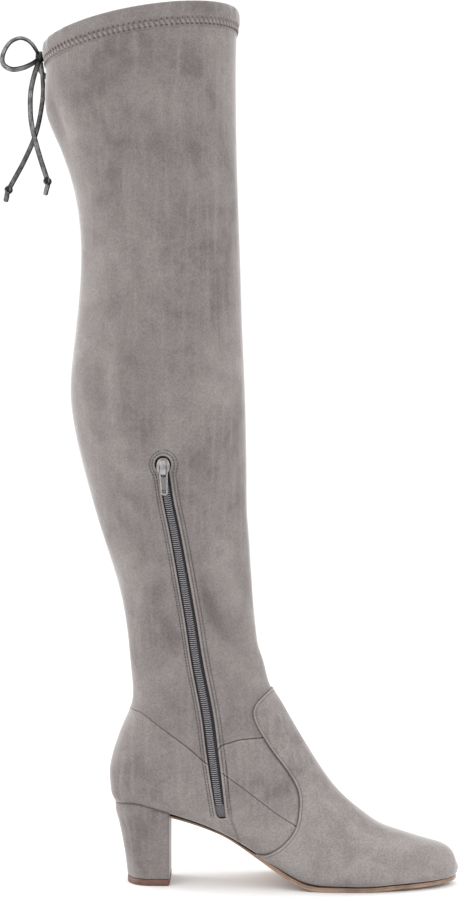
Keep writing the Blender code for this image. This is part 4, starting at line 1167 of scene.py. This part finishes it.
def collarStack(around):
    # rings of the leg from the rim down, and how far below the rim each of their points lies
    shares = np.linspace(1.0, 0.1, 37)
    places = rowKeys[-2] + (rowKeys[-1] - rowKeys[-2]) * shares
    shapes = splineRead(rowKeys, np.array(sectionRows()), places)
    stack = np.array([ringPoints(shape, around, last["collarCrown"] * share)
                      for shape, share in zip(shapes, shares)])
    return stack, rimHeight(stack[:, :, 0]) - stack[:, :, 2]


legTop, legDrops = collarStack(casing["around"])


def ringBelow(drop):
    return np.array([[np.interp(drop, legDrops[:, number], legTop[:, number, axis]) for axis in range(3)]
                     for number in range(casing["around"])])


def collarRing(drop, offset=None):
    # a ring of the leg's surface at a distance below the collar, moved off it by the offsets
    ring = ringBelow(drop)
    if offset is None:
        return ring
    normal = np.cross(ring - ringBelow(drop + 0.0005), np.roll(ring, -1, axis=0) - np.roll(ring, 1, axis=0))
    normal /= np.linalg.norm(normal, axis=1)[:, None]
    if ((ring - ring.mean(axis=0)) * normal).sum() < 0:
        normal = -normal
    return ring + normal * offset[:, None]


def makeCasing():
    around = casing["around"]
    whole = collarRing(0.008)
    runs = pathRuns(whole)
    total = runs[-1] + np.linalg.norm(whole[0] - whole[-1])
    count = round(total / casing["pitch"])
    turn = 2 * math.pi * runs / total
    # the tunnel gathers a little unevenly
    slow = 0.00016 * np.sin(turn * 23) + 0.00012 * np.sin(turn * 41)
    grid, shades = [], []
    for drop, offset in casingProfile:
        upperPinch = bell(drop, casing["upperRow"], 1.3)
        middle = bell(drop, casing["middle"], 1.2)
        lowerPinch = bell(drop, casing["lowerRow"], 0.9)
        outside = 1.0 if offset > 0 else 0.0
        # it puckers between its stitches, in a zigzag from one row to the other
        slant = np.cos(turn * count + math.pi * (drop - casing["upperRow"]) / 4.3)
        puff = offset * 0.001 + outside * casing["pucker"] * (upperPinch * np.cos(turn * count)
                                                              + (0.5 * lowerPinch + 0.7 * middle) * slant)
        puff += slow * outside * max(0.0, min(1.0, (12.0 - drop) / 6))
        grid.append(collarRing(drop * 0.001, puff))
        # painted shade in the pinched stitch rows and under the band's lower edge, painted highlight and shade
        # along the zigzag of the puckers
        shades.append(outside * (-0.20 * upperPinch - 0.26 * lowerPinch + 0.60 * middle * slant
                                 - (0.16 if drop > casing["hem"] else 0.0)))
    item = meshPiece("casingSkin", np.concatenate(grid), gridFaces(len(grid), around).tolist(), shaftSuede)
    setShade(item, shades)
    # close the band between its inner and outer lower edges
    activate(item)
    bpy.ops.object.mode_set(mode="EDIT")
    bpy.ops.mesh.select_mode(type="EDGE")
    bpy.ops.mesh.select_all(action="DESELECT")
    bpy.ops.mesh.select_non_manifold(extend=False, use_wire=False, use_boundary=True, use_multi_face=False,
                                     use_non_contiguous=False, use_verts=False)
    bpy.ops.mesh.bridge_edge_loops()
    bpy.ops.object.mode_set(mode="OBJECT")
    outward(item)
    smoothPiece(item, 60)
    placePiece(item, "boot", "suede", "casing")
    return item, count


casingSkin, casingCount = makeCasing()
print("casing made")

# ---- sole, heel, lift and insole

sole = {"color": (0.300, 0.195, 0.140, 1.0), "lift": (0.125, 0.062, 0.045, 1.0), "groove": 0.00035,
        "grooveAt": 0.66, "rows": 110, "seatGap": 0.00025}


heel = {"topWidth": 0.0480, "bottomWidth": 0.0390, "breast": 0.0155, "bottomBack": -0.0156, "lift": 0.0046,
        "corner": 0.0016, "bevel": 0.0005, "rows": 36}
# share of the heel's height, place of its back and how much of the top's width it has
heelRows = [(0.000, 0.000, 0.00), (0.320, 0.056, 0.10), (0.540, 0.108, 0.30), (0.750, 0.168, 0.60),
            (0.930, 0.228, 0.92), (1.120, 0.241, 1.00)]


def tanMaterial(name, color, roughness, grainScale):
    made, tree, shader = startMaterial(name)
    place = objectPlace(tree)
    cloud = noise(tree, place, 60.0, 4.0, 0.6)
    fibre = noise(tree, mapped(tree, place, (0.4, 1.0, 1.0)), grainScale, 3.0)
    dark = tuple(value * 0.72 for value in color[:3]) + (1.0,)
    light = tuple(min(1.0, value * 1.18) for value in color[:3]) + (1.0,)
    tone = mixColor(tree, between(tree, cloud, 0.35, 0.65), dark, light)
    tone = mixColor(tree, between(tree, fibre, 0.45, 0.8, 0.0, 0.35), tone, dark)
    # painted shade along the groove of the sole's edge
    line = attribute(tree, "shade")
    tone = mixColor(tree, between(tree, line, 0.0, -1.0), tone, (0.10, 0.06, 0.045, 1.0))
    finishSurface(tree, shader, tone, roughness, fibre, 0.2, 0.0003)
    return made


soleLeather = tanMaterial("soleLeather", sole["color"], 0.5, 900.0)
liftRubber = tanMaterial("liftRubber", sole["lift"], 0.62, 700.0)


def seatHeight(x, y, limit):
    # how far up a piece under the boot may reach here
    best = limit
    for tree in (vampTree, upperTree):
        hit = tree.ray_cast(Vector((x, y, -0.05)), Vector((0.0, 0.0, 1.0)))
        if hit[0] is not None:
            best = min(best, hit[0].z - sole["seatGap"])
    return best


def makeSole():
    start = (heel["breast"] + last["clearance"] - last["heelBack"]) / last["footLength"]
    end = soleOutline[-1][0]
    # share of the edge's height and inset
    profile = ((0.00, 0.0012), (0.00, 0.0006), (0.06, 0.00022), (0.16, 0.0), (0.56, 0.0), (0.62, 0.00018),
               (sole["grooveAt"], sole["groove"]), (0.70, 0.00018), (0.76, 0.0), (0.94, 0.0), (1.00, 0.0002))
    topInsets = (0.0008, 0.0016, 0.003, 0.006, 0.012)
    loops, shades = [], []
    for number in range(sole["rows"] + 1):
        place = start + (end - start) * math.sin(0.5 * math.pi * number / sole["rows"])
        x = footX(place)
        inner = readTable(soleOutline, 1, place) * last["ballWidth"]
        outer = readTable(soleOutline, 2, place) * last["ballWidth"]
        low, height = soleBottom(place), soleRim(place)
        room = (inner + outer) / 2
        ring = []
        for side, reach in ((-1, inner), (1, outer)):
            half = []
            for share, inset in profile:
                # the row in the groove gets painted shade
                half.append((x, side * (reach - min(inset, room * 0.5)), low + share * height,
                             -1.0 if share == sole["grooveAt"] else 0.0))
            for inset in topInsets:
                y = side * (reach - min(inset, room * 0.9))
                half.append((x, y, max(low + 0.0004, seatHeight(x, y, low + height)), 0.0))
            ring += half if side < 0 else half[::-1]
        loops.append([point[:3] for point in ring])
        shades += [point[3] for point in ring]
    item = loftPiece("soleSkin", loops, soleLeather)
    setShade(item, shades)
    smoothPiece(item, 50)
    placePiece(item, "boot", "sole_leather", "outsole")


makeSole()


def heelLoop(back, half, height, inset=0.0):
    # flat breast with rounded corners, straight sides, half round back
    half -= inset
    back += inset
    front = heel["breast"] - inset
    depth = half * 0.85
    corner = heel["corner"]
    angles = [math.pi / 2 * number / 6 for number in range(7)]
    loop = [(front - corner * (1 - math.cos(angle)), -half + corner - corner * math.sin(angle), height)
            for angle in angles]
    for number in range(49):
        angle = math.pi * number / 48
        loop.append((back + depth * (1 - math.sin(angle)), -half * math.cos(angle), height))
    loop += [(front - corner * (1 - math.sin(angle)), half - corner + corner * math.cos(angle), height)
             for angle in angles]
    return loop


def makeHeel():
    loops = []
    bevel, bottomHalf = heel["bevel"], heel["bottomWidth"] / 2
    for number in range(heel["rows"] + 1):
        up = heelRows[-1][0] * number / heel["rows"]
        back = readTable(heelRows, 1, up) * heel["bottomWidth"]
        half = bottomHalf + (heel["topWidth"] / 2 - bottomHalf) * readTable(heelRows, 2, up)
        height = heel["lift"] + last["clearance"] + up * (last["heelHeight"] - heel["lift"])
        loops.append(heelLoop(heel["bottomBack"] - back, half, height, 0.0 if number else bevel))
        if number == 0:
            loops.append(heelLoop(heel["bottomBack"], half, height + bevel))
    # the top follows the heel seat, with a painted shadow line where it meets the upper
    dark = []
    for loop in loops:
        for index, (x, y, z) in enumerate(loop):
            seat = seatHeight(x, y, 0.2)
            loop[index] = (x, y, min(z, seat))
            dark.append(-0.75 * bell(max(0.0, seat - z), 0.0, 0.0012))
    item = loftPiece("heelSkin", loops, heelSuede)
    setShade(item, dark)
    smoothPiece(item, 35)
    placePiece(item, "boot", "heel_suede", "heel")
    rows = ((0.0, 0.0004), (0.0005, 0.0), (heel["lift"] - 0.0004, 0.0), (heel["lift"], 0.0004))
    lift = loftPiece("liftSkin", [heelLoop(heel["bottomBack"], bottomHalf, *row) for row in rows], liftRubber)
    smoothPiece(lift, 50)
    placePiece(lift, "boot", "lift_rubber", "top_lift")


makeHeel()


insole = {"from": 0.035, "to": 0.960, "rows": 60, "middle": -0.003, "thickness": 0.0025, "gap": 0.0003}


def makeInsole():
    # a thin padded sock on the board, out to the inner wall
    innerTree = ringTree(rings - normals * (last["wall"] + last["clearance"]))
    loops = []
    for place in np.linspace(insole["from"], insole["to"], insole["rows"] + 1):
        x, floor = footX(place), underside(place) + last["wall"] + last["clearance"]
        top = floor + insole["thickness"]
        reach = []
        for side in (-1, 1):
            hit = innerTree.ray_cast(Vector((x, insole["middle"], top)), Vector((0.0, side, 0.0)))
            reach.append(abs(hit[0].y - insole["middle"]) - insole["gap"] if hit[0] is not None else 0.004)
        ring = [(share, top - 0.0006 * share ** 6) for share in np.linspace(-1.0, 1.0, 17)]
        ring += [(share, floor + 0.0002) for share in np.linspace(0.9, -0.9, 9)]
        loops.append([(x, insole["middle"] + (reach[0] if share < 0 else reach[1]) * share, z)
                      for share, z in ring])
    item = loftPiece("insoleSock", loops, lining)
    smoothPiece(item, 60)
    placePiece(item, "boot", "lining", "insole")


makeInsole()
print("sole, heel, lift and insole made")

# ---- zip

metal = {
    "color": (0.36, 0.34, 0.34, 1.0),
    "dull": (0.25, 0.24, 0.24, 1.0),
    "sunk": (0.19, 0.18, 0.18, 1.0),
}


def metalMaterial():
    made, tree, shader = startMaterial("satinMetal")
    place = objectPlace(tree)
    brushed = noise(tree, mapped(tree, place, (1.0, 1.0, 0.08)), 5200.0, 2.0)
    cloud = noise(tree, place, 400.0, 2.0)
    color = mixColor(tree, between(tree, cloud, 0.35, 0.75), metal["color"], metal["dull"])
    color = mixColor(tree, between(tree, attribute(tree, "shade"), 0.0, -1.0), color, metal["sunk"])
    tree.links.new(color, shader.inputs["Base Color"])
    tree.links.new(between(tree, brushed, 0.2, 0.8, 0.26, 0.46), shader.inputs["Roughness"])
    shader.inputs["Metallic"].default_value = 0.9
    bumpInto(tree, shader, brushed, 0.12, 0.0001)
    return made


def tapeMaterial():
    made, tree, shader = startMaterial("wovenTape")
    place = addNode(tree, "ShaderNodeTexCoord", {}).outputs["UV"]
    weave = addNode(tree, "ShaderNodeTexWave", {"Vector": place, "Scale": 9.0, "Distortion": 1.2},
                    bands_direction="DIAGONAL").outputs[1]
    color = mixColor(tree, between(tree, weave, 0.2, 0.8), (0.020, 0.019, 0.022, 1.0), (0.042, 0.040, 0.045, 1.0))
    # below the last teeth the bare tape is paler
    along = addNode(tree, "ShaderNodeSeparateXYZ", {0: place}).outputs[1]
    bare = between(tree, along, zipper["teethStart"] * 1000 - 1.0, zipper["teethStart"] * 1000, 0.8, 0.0)
    color = mixColor(tree, bare, color, (0.16, 0.15, 0.16, 1.0))
    finishSurface(tree, shader, color, 0.88, weave, 0.4, 0.0002)
    return made


def coilMaterial():
    made, tree, shader = startMaterial("nylonTeeth")
    place = objectPlace(tree)
    cloud = noise(tree, place, 900.0, 2.0)
    color = mixColor(tree, between(tree, cloud, 0.3, 0.7), (0.18, 0.172, 0.185, 1.0), (0.26, 0.25, 0.265, 1.0))
    finishSurface(tree, shader, color, 0.38, cloud, 0.1, 0.0001)
    return made


satinMetal, wovenTape, nylonTeeth = metalMaterial(), tapeMaterial(), coilMaterial()


def zipPlace(run, across, lift):
    # a point over the zip: run along it from its foot, across to the left, lifted from the boot's surface
    runs = np.arange(len(zipCentre)) * np.linalg.norm(zipCentre[1] - zipCentre[0])
    back, middle, ahead = [np.array([np.interp(at, runs, zipCentre[:, axis]) for axis in range(2)])
                           for at in (run - 0.002, run, run + 0.002)]
    step = unit(ahead - back)
    place = middle + leftOf(step) * across
    point, normal = onSide(formTree, place[0], place[1])
    if normal.y > 0:
        normal = -normal
    return point + normal * lift, normal, Vector((step[0], 0.0, step[1]))


def makeTape():
    half, count, width = zipper["tapeWidth"] / 2, 160, 13
    points = [zipPlace(zipLength * number / count, across, -zipper["tapeDepth"])[0]
              for number in range(count + 1) for across in np.linspace(-half, half, width)]
    faces = [(r * width + c, r * width + c + 1, (r + 1) * width + c + 1, (r + 1) * width + c)
             for r in range(count) for c in range(width - 1)]
    item = meshPiece("tapeBand", points, faces, wovenTape)
    # the weave is read in millimetres across and along the tape
    layer = item.data.uv_layers.new(name="UVMap")
    for loop in item.data.loops:
        index = loop.vertex_index
        layer.data[loop.index].uv = ((index % width) / (width - 1) * zipper["tapeWidth"] * 1000,
                                     (index // width) / count * zipLength * 1000)
    outward(item)
    if item.data.polygons[0].normal.y > 0:
        item.data.flip_normals()
    applyModifier(item, "SOLIDIFY", thickness=0.0005, offset=-1.0)
    smoothPiece(item, 40)
    placePiece(item, "boot", "tape", "zip_tape")


makeTape()


def rowsOf(item):
    # the mesh of a template piece as arrays, and the template removed
    points = np.array([tuple(vertex.co) for vertex in item.data.vertices])
    faces = [list(polygon.vertices) for polygon in item.data.polygons]
    bpy.data.objects.remove(item, do_unlink=True)
    return points, faces


def repeatPiece(name, template, places, finish):
    # copies of one small shape, each with its own place, in one mesh
    points, faces = template
    madePoints = [matrix @ Vector(point) for matrix in places for point in points]
    madeFaces = [[index + number * len(points) for index in face]
                 for number in range(len(places)) for face in faces]
    return outward(smoothPiece(meshPiece(name, madePoints, madeFaces, finish), 60))


def frameMatrix(origin, side, run, up, size):
    columns = Matrix((side * size[0], run * size[1], up * size[2])).transposed().to_4x4()
    return Matrix.Translation(origin) @ columns


def beadTemplate():
    # a soft grain of thread or tooth, 1 long along Y, 1 wide and 1 high
    deselectAll()
    bpy.ops.mesh.primitive_uv_sphere_add(segments=8, ring_count=5, radius=0.5)
    bead = bpy.context.object
    for vertex in bead.data.vertices:
        x, y, z = vertex.co
        vertex.co = (softPower(x * 2, 0.8) / 2, softPower(y * 2, 0.6) / 2, z)
    return rowsOf(bead)


bead = beadTemplate()


def makeTeeth():
    places = []
    reach = zipper["toothReach"]
    count = int(zipLength / zipper["toothPitch"])
    for number in range(count):
        for side in (-1, 1):
            run = zipper["toothPitch"] * (number + (0.2 if side > 0 else 0.0)) + zipper["teethStart"]
            if run > zipLength - zipper["teethEnd"]:
                continue
            # each tooth rises from its outer end to the middle, and crosses it a little
            inner = zipPlace(run, zipper["toothShift"] - side * 0.00035, -0.00105)[0]
            outer, normal, along = zipPlace(run + 0.0004, zipper["toothShift"] + side * reach, -0.00135)
            length = (outer - inner).length
            across = (outer - inner).normalized()
            up = across.cross(along).normalized()
            if up.dot(normal) < 0:
                up = -up
            places.append(frameMatrix((inner + outer) / 2, along, across, up, (0.00086, length, 0.0012)))
    placePiece(repeatPiece("zipTeeth", bead, places, nylonTeeth), "boot", "coil", "zip_coil")


makeTeeth()

slider = {"width": 0.0093, "length": 0.0114, "thickness": 0.0024, "archWidth": 0.0040, "archLength": 0.0118,
          "archHeight": 0.0034, "archDrop": 0.0010, "archThickness": 0.0005, "bevel": 0.0006,
          "place": (0.01279, -0.04992, 0.30258)}
pullTab = {"axis": (0.01279, -0.05257, 0.30258), "length": 0.0202, "topWidth": 0.0066, "endWidth": 0.0046,
           "thickness": 0.0010, "lean": 0.0010, "bar": 0.0007, "rim": 0.0006, "sunk": 0.00028,
           "windowStart": 0.0006, "windowRound": 0.0050, "window": 0.0079, "windowWidth": 0.0049,
           "slot": (0.00035, 0.00135), "slotEnds": (0.0010, 0.0042)}


def makeSlider():
    # a shield with a round top and sides that draw in to its foot
    deselectAll()
    bpy.ops.mesh.primitive_cylinder_add(vertices=64, radius=1.0, depth=1.0, rotation=(math.pi / 2, 0.0, 0.0))
    body = bpy.context.object
    settle(body)
    for vertex in body.data.vertices:
        x, y, z = vertex.co
        across = softPower(x, 0.75) * (1.0 - 0.20 * max(0.0, -z) ** 1.5)
        tall = softPower(z, 0.95 if z > 0 else 0.62)
        vertex.co = (across * slider["width"] / 2, y * slider["thickness"], tall * slider["length"] / 2)
    applyModifier(body, "BEVEL", width=slider["bevel"], segments=3, limit_method="ANGLE",
                  angle_limit=math.radians(50))
    body.data.materials.append(satinMetal)
    body.location = slider["place"]
    settle(body)
    # the long arch over the slider's face, with the tab's bar under it
    deselectAll()
    bpy.ops.mesh.primitive_grid_add(x_subdivisions=12, y_subdivisions=36, size=2.0)
    arch = bpy.context.object
    for vertex in arch.data.vertices:
        x, y = vertex.co.x, vertex.co.y
        narrow = math.sqrt(max(0.0, 1.0 - abs(y) ** 5)) * 0.55 + 0.45
        rise = slider["archHeight"] * max(0.0, 1.0 - abs(y) ** 2.6) ** 0.5 * (1.0 - 0.04 * x ** 4)
        vertex.co = (x * narrow * slider["archWidth"] / 2, -rise, y * slider["archLength"] / 2)
    applyModifier(arch, "SOLIDIFY", thickness=slider["archThickness"], offset=-1.0)
    arch.data.materials.append(satinMetal)
    place = Vector(slider["place"])
    arch.location = (place.x, place.y - slider["thickness"] / 2 + 0.0002, pullTab["axis"][2] - slider["archDrop"])
    settle(arch)
    outward(arch)
    item = joinPieces("sliderBody", [body, arch])
    smoothPiece(item, 40)
    placePiece(item, "boot", "metal", "zip_slider")


def makePullTab():
    # a tapered plate with a raised rim, a window for the arch and two small slots at its end
    axis = Vector(pullTab["axis"])
    deselectAll()
    bpy.ops.mesh.primitive_grid_add(x_subdivisions=30, y_subdivisions=60, size=1.0)
    plate = bpy.context.object
    length, lean, top = pullTab["length"], pullTab["lean"], pullTab["bar"]
    for vertex in plate.data.vertices:
        share = 0.5 - vertex.co.y
        width = pullTab["topWidth"] + (pullTab["endWidth"] - pullTab["topWidth"]) * max(0.0, share - 0.15) / 0.85
        corner = min(1.0, 0.84 + 3.0 * share, 1.0 - (share - 0.95) * 5.0)
        x = vertex.co.x * width * corner + lean * share
        # the rim stands up round a sunken face
        edge = min((0.5 - abs(vertex.co.x)) * width, (1.0 - share) * length)
        sunk = pullTab["sunk"] * min(1.0, max(0.0, (edge - pullTab["rim"]) / 0.0003))
        vertex.co = (x, sunk, top - share * (length + top))
    setShade(plate, [-3500.0 * vertex.co.y for vertex in plate.data.vertices])
    for polygon in plate.data.polygons:
        x = polygon.center.x - lean * (top - polygon.center.z) / (length + top)
        z = polygon.center.z
        # the window's lower end is round
        low = max(0.0, (-z - pullTab["windowRound"]) / (pullTab["window"] - pullTab["windowRound"]))
        window = (z < -pullTab["windowStart"] and low < 1.0
                  and abs(x) < pullTab["windowWidth"] / 2 * math.sqrt(1.0 - low * low))
        slots = (pullTab["slot"][0] < abs(x) < pullTab["slot"][1]
                 and pullTab["slotEnds"][0] < z + length < pullTab["slotEnds"][1])
        polygon.select = window or slots
    for edge in plate.data.edges:
        edge.select = False
    for vertex in plate.data.vertices:
        vertex.select = False
    for polygon in plate.data.polygons:
        if polygon.select:
            for index in polygon.vertices:
                plate.data.vertices[index].select = True
    activate(plate)
    bpy.ops.object.mode_set(mode="EDIT")
    bpy.ops.mesh.select_mode(type="FACE")
    bpy.ops.mesh.delete(type="FACE")
    bpy.ops.object.mode_set(mode="OBJECT")
    applyModifier(plate, "SOLIDIFY", thickness=pullTab["thickness"] * 0.8, offset=0.0)
    plate.data.materials.append(satinMetal)
    plate.location = axis
    settle(plate)
    outward(plate)
    plate.name = "pullTab"
    smoothPiece(plate, 40)
    placePiece(plate, "pull_tab", "metal", "zip_pull")


makeSlider()
makePullTab()
print("zip made")

# ---- stitches

# a row of stitches: pitch, length and radius of its thread
thread = {
    "color": (0.050, 0.043, 0.042, 1.0),
    "zip": (0.0022, 0.0014, 0.00028),
    "vamp": (0.0019, 0.0012, 0.00014),
    "counter": (0.0019, 0.0009, 0.00016),
    "side": (0.0015, 0.0010, 0.00012),
}


def threadMaterial():
    made, tree, shader = startMaterial("darkThread")
    place = objectPlace(tree)
    twist = noise(tree, place, 2500.0, 1.0)
    light = tuple(value * 1.5 for value in thread["color"][:3]) + (1.0,)
    color = mixColor(tree, between(tree, twist, 0.4, 0.7), thread["color"], light)
    finishSurface(tree, shader, color, 0.7, twist, 0.3, 0.0001)
    return made


darkThread = threadMaterial()


def sewnPiece(name, places, slotName):
    placePiece(repeatPiece(name, bead, places, darkThread), "boot", slotName)


def sewLine(trees, line, shift, row, side=-1, first=0.0, until=None):
    # places of a row of stitches, beside a line in the side view
    pitch, length, radius = thread[row]
    runs = pathRuns(line)
    end = until or runs[-1]
    steps = np.gradient(line, axis=0)
    steps /= np.linalg.norm(steps, axis=1)[:, None]
    moved = line + np.stack([-steps[:, 1], steps[:, 0]], axis=1) * shift
    places = []

    def touch(run):
        x, z = np.interp(run, runs, moved[:, 0]), np.interp(run, runs, moved[:, 1])
        best = None
        for tree in trees:
            point, normal = onSide(tree, x, z, side)
            if point is not None and (best is None or point.y * side > best[0].y * side):
                best = (point, normal)
        return best

    run = first + pitch / 2
    while run < end - pitch / 2:
        start, stop = touch(run - length / 2), touch(run + length / 2)
        run += pitch
        if start is None or stop is None:
            continue
        along = stop[0] - start[0]
        if along.length > length * 2.5 or along.length < 1e-5:
            continue
        up = start[1] if start[1].y * side > 0 else -start[1]
        across = along.cross(up).normalized()
        up = across.cross(along).normalized()
        if up.y * side < 0:
            up = -up
        places.append(frameMatrix((start[0] + stop[0]) / 2 + up * radius * 0.35, across, along.normalized(), up,
                                  (radius * 2, along.length, radius * 2)))
    return places


def zipRow(sign, out):
    # a line beside the slot's own edge from the zip's foot, and a quarter round its head
    count, radius = len(zipCentre) - 1, zipper["roundHead"] / 2
    line = []
    for number in range(241):
        run = zipLength * number / 240 - 0.002
        if run >= zipLength - radius:
            break
        half = slotHalf(run)
        half += (radius - half) * ease((run - (zipLength - 0.0135)) / 0.0045)
        index = max(0.0, run / zipLength * count)
        low = int(index)
        middle = zipCentre[low] * (1 - index + low) + zipCentre[low + 1] * (index - low)
        step = unit(zipCentre[min(low + 2, count)] - zipCentre[max(low - 2, 0)])
        line.append(middle + leftOf(step) * sign * (half + out))
    step = unit(zipCentre[-1] - zipCentre[-4])
    centre = zipCentre[-1] - step * radius
    for angle in np.linspace(0.0, math.pi / 2, 12)[1:]:
        line.append(centre + (leftOf(step) * sign * math.cos(angle) + step * math.sin(angle)) * (radius + out))
    return curveThrough(line[::4] + [line[-1]], 0.0006)


def makeStitches():
    both = (shaftTree, upperTree)
    places = []
    for sign, rowsOut in ((1, stitch["zipLeft"]), (-1, stitch["zipRight"])):
        for out in rowsOut:
            places += sewLine(both, zipRow(sign, out), 0.0, "zip", first=0.002)
    sewnPiece("zipStitches", places, "suede")

    # along the vamp's edge, both sides
    places = []
    for side in (-1, 1):
        places += sewLine((vampTree,), footLine(vampEdge), stitch["vamp"], "vamp", side=side, first=0.004)
    sewnPiece("vampStitches", places, "vamp_suede")

    # over the counter seam and the quarter seam, and a row on each side of the side seam
    places = sewLine(both, footLine(shaftEdge, 0), 0.0, "counter", first=0.052, until=0.112)
    places += sewLine((upperTree,), quarterSeam, 0.0, "counter", first=0.014, until=0.072)
    for shift in (-0.0008, 0.0008):
        places += sewLine((upperTree,), sideSeam, shift, "side", first=0.004, until=0.064)
    sewnPiece("seamStitches", places, "suede")


makeStitches()


def makeCasingStitches():
    # two rows: short upright stitches over the tunnel's seam, and a lower running row
    tree = treeOf(casingSkin)
    shares = np.linspace(0.0, 1.0, casing["around"], endpoint=False)
    places = []
    for row, tall in (("upperRow", True), ("lowerRow", False)):
        ring = collarRing(casing[row] * 0.001)
        for number in range(casingCount):
            share = (number + 0.5) / casingCount
            point, ahead = [Vector([np.interp(at, shares, ring[:, axis]) for axis in range(3)])
                            for at in (share, min(share + 0.002, 0.998))]
            out = Vector((point.x, point.y, 0.0)).normalized()
            foot, up = tree.find_nearest(point + out * 0.001)[:2]
            if foot is None:
                continue
            if up.dot(out) < 0:
                up = -up
            rise = up.cross((ahead - point).normalized()).normalized()
            along = rise.cross(up).normalized()
            origin = foot + up * 0.00003
            places.append(frameMatrix(origin, along, rise, up, casing["tallStitch"]) if tall
                          else frameMatrix(origin, rise, along, up, casing["lowStitch"]))
    sewnPiece("casingStitches", places, "suede")


makeCasingStitches()


def makeCordStitches():
    # a row of small stitches down the middle of each flat cord, on both faces
    places = []
    for name in ("bowTailNear", "bowTailFar", "bowLoopNear", "bowLoopFar"):
        path = cordPaths[name]
        frames = bandFrames(path, cordTurns[name])
        step = np.linalg.norm(path[1] - path[0])
        every = max(1, round(cord["stitchPitch"] / step))
        for index in range(3, len(path) - 2, every):
            run, side, up = frames[index]
            for face in (-1, 1):
                origin = Vector(path[index]) + up * face * (cord["thickness"] / 2 - 0.00002)
                places.append(frameMatrix(origin, side, run, up, cord["stitch"]))
    sewnPiece("cordStitches", places, "cord_leather")


makeCordStitches()
print("stitches made")

# ---- floor and soft studio light

studio = {
    "world": 1.06,
    "floor": ((0.955, 0.955, 0.955, 1.0), (0.97, 0.97, 0.97, 1.0)),
    # place, aim, size and power
    "keyLight": ((-1.1, -1.5, 1.3), (0.0, 0.0, 0.32), (1.2, 1.6), 9.0),
    "fillLight": ((1.5, -1.1, 0.9), (0.05, 0.0, 0.28), (1.2, 1.6), 7.0),
    "backLeftLight": ((-1.4, 0.5, 0.2), (0.0, 0.0, 0.26), (0.5, 0.8), 19.0),
    "backRightLight": ((1.5, 0.5, 0.6), (0.03, 0.0, 0.28), (0.5, 1.4), 8.0),
    "topLight": ((0.0, 0.3, 2.0), (0.0, 0.0, 0.3), (1.6, 1.6), 11.0),
}


def areaLight(name):
    place, aim, size, power = studio[name]
    data = bpy.data.lights.new(name, "AREA")
    data.shape = "RECTANGLE"
    data.size, data.size_y = size
    data.energy = power
    item = bpy.data.objects.new(name, data)
    bpy.context.collection.objects.link(item)
    item.location = place
    item.rotation_euler = (Vector(aim) - Vector(place)).to_track_quat("-Z", "Y").to_euler()


def makeStudio():
    deselectAll()
    bpy.ops.mesh.primitive_plane_add(size=12.0, location=(0.0, 0.0, 0.0))
    floor = bpy.context.object
    floor.name = "studioFloor"
    made, tree, shader = startMaterial("paleFloor")
    cloud = noise(tree, objectPlace(tree), 6.0, 2.0)
    tree.links.new(mixColor(tree, cloud, *studio["floor"]), shader.inputs["Base Color"])
    shader.inputs["Roughness"].default_value = 0.9
    floor.data.materials.append(made)
    world = bpy.data.worlds.new("studio")
    world.use_nodes = True
    background = world.node_tree.nodes["Background"]
    background.inputs[0].default_value = (1.0, 1.0, 1.0, 1.0)
    background.inputs[1].default_value = studio["world"]
    bpy.context.scene.world = world
    for name in ("keyLight", "fillLight", "backLeftLight", "backRightLight", "topLight"):
        areaLight(name)
    bpy.context.scene.view_settings.view_transform = "Standard"


makeStudio()
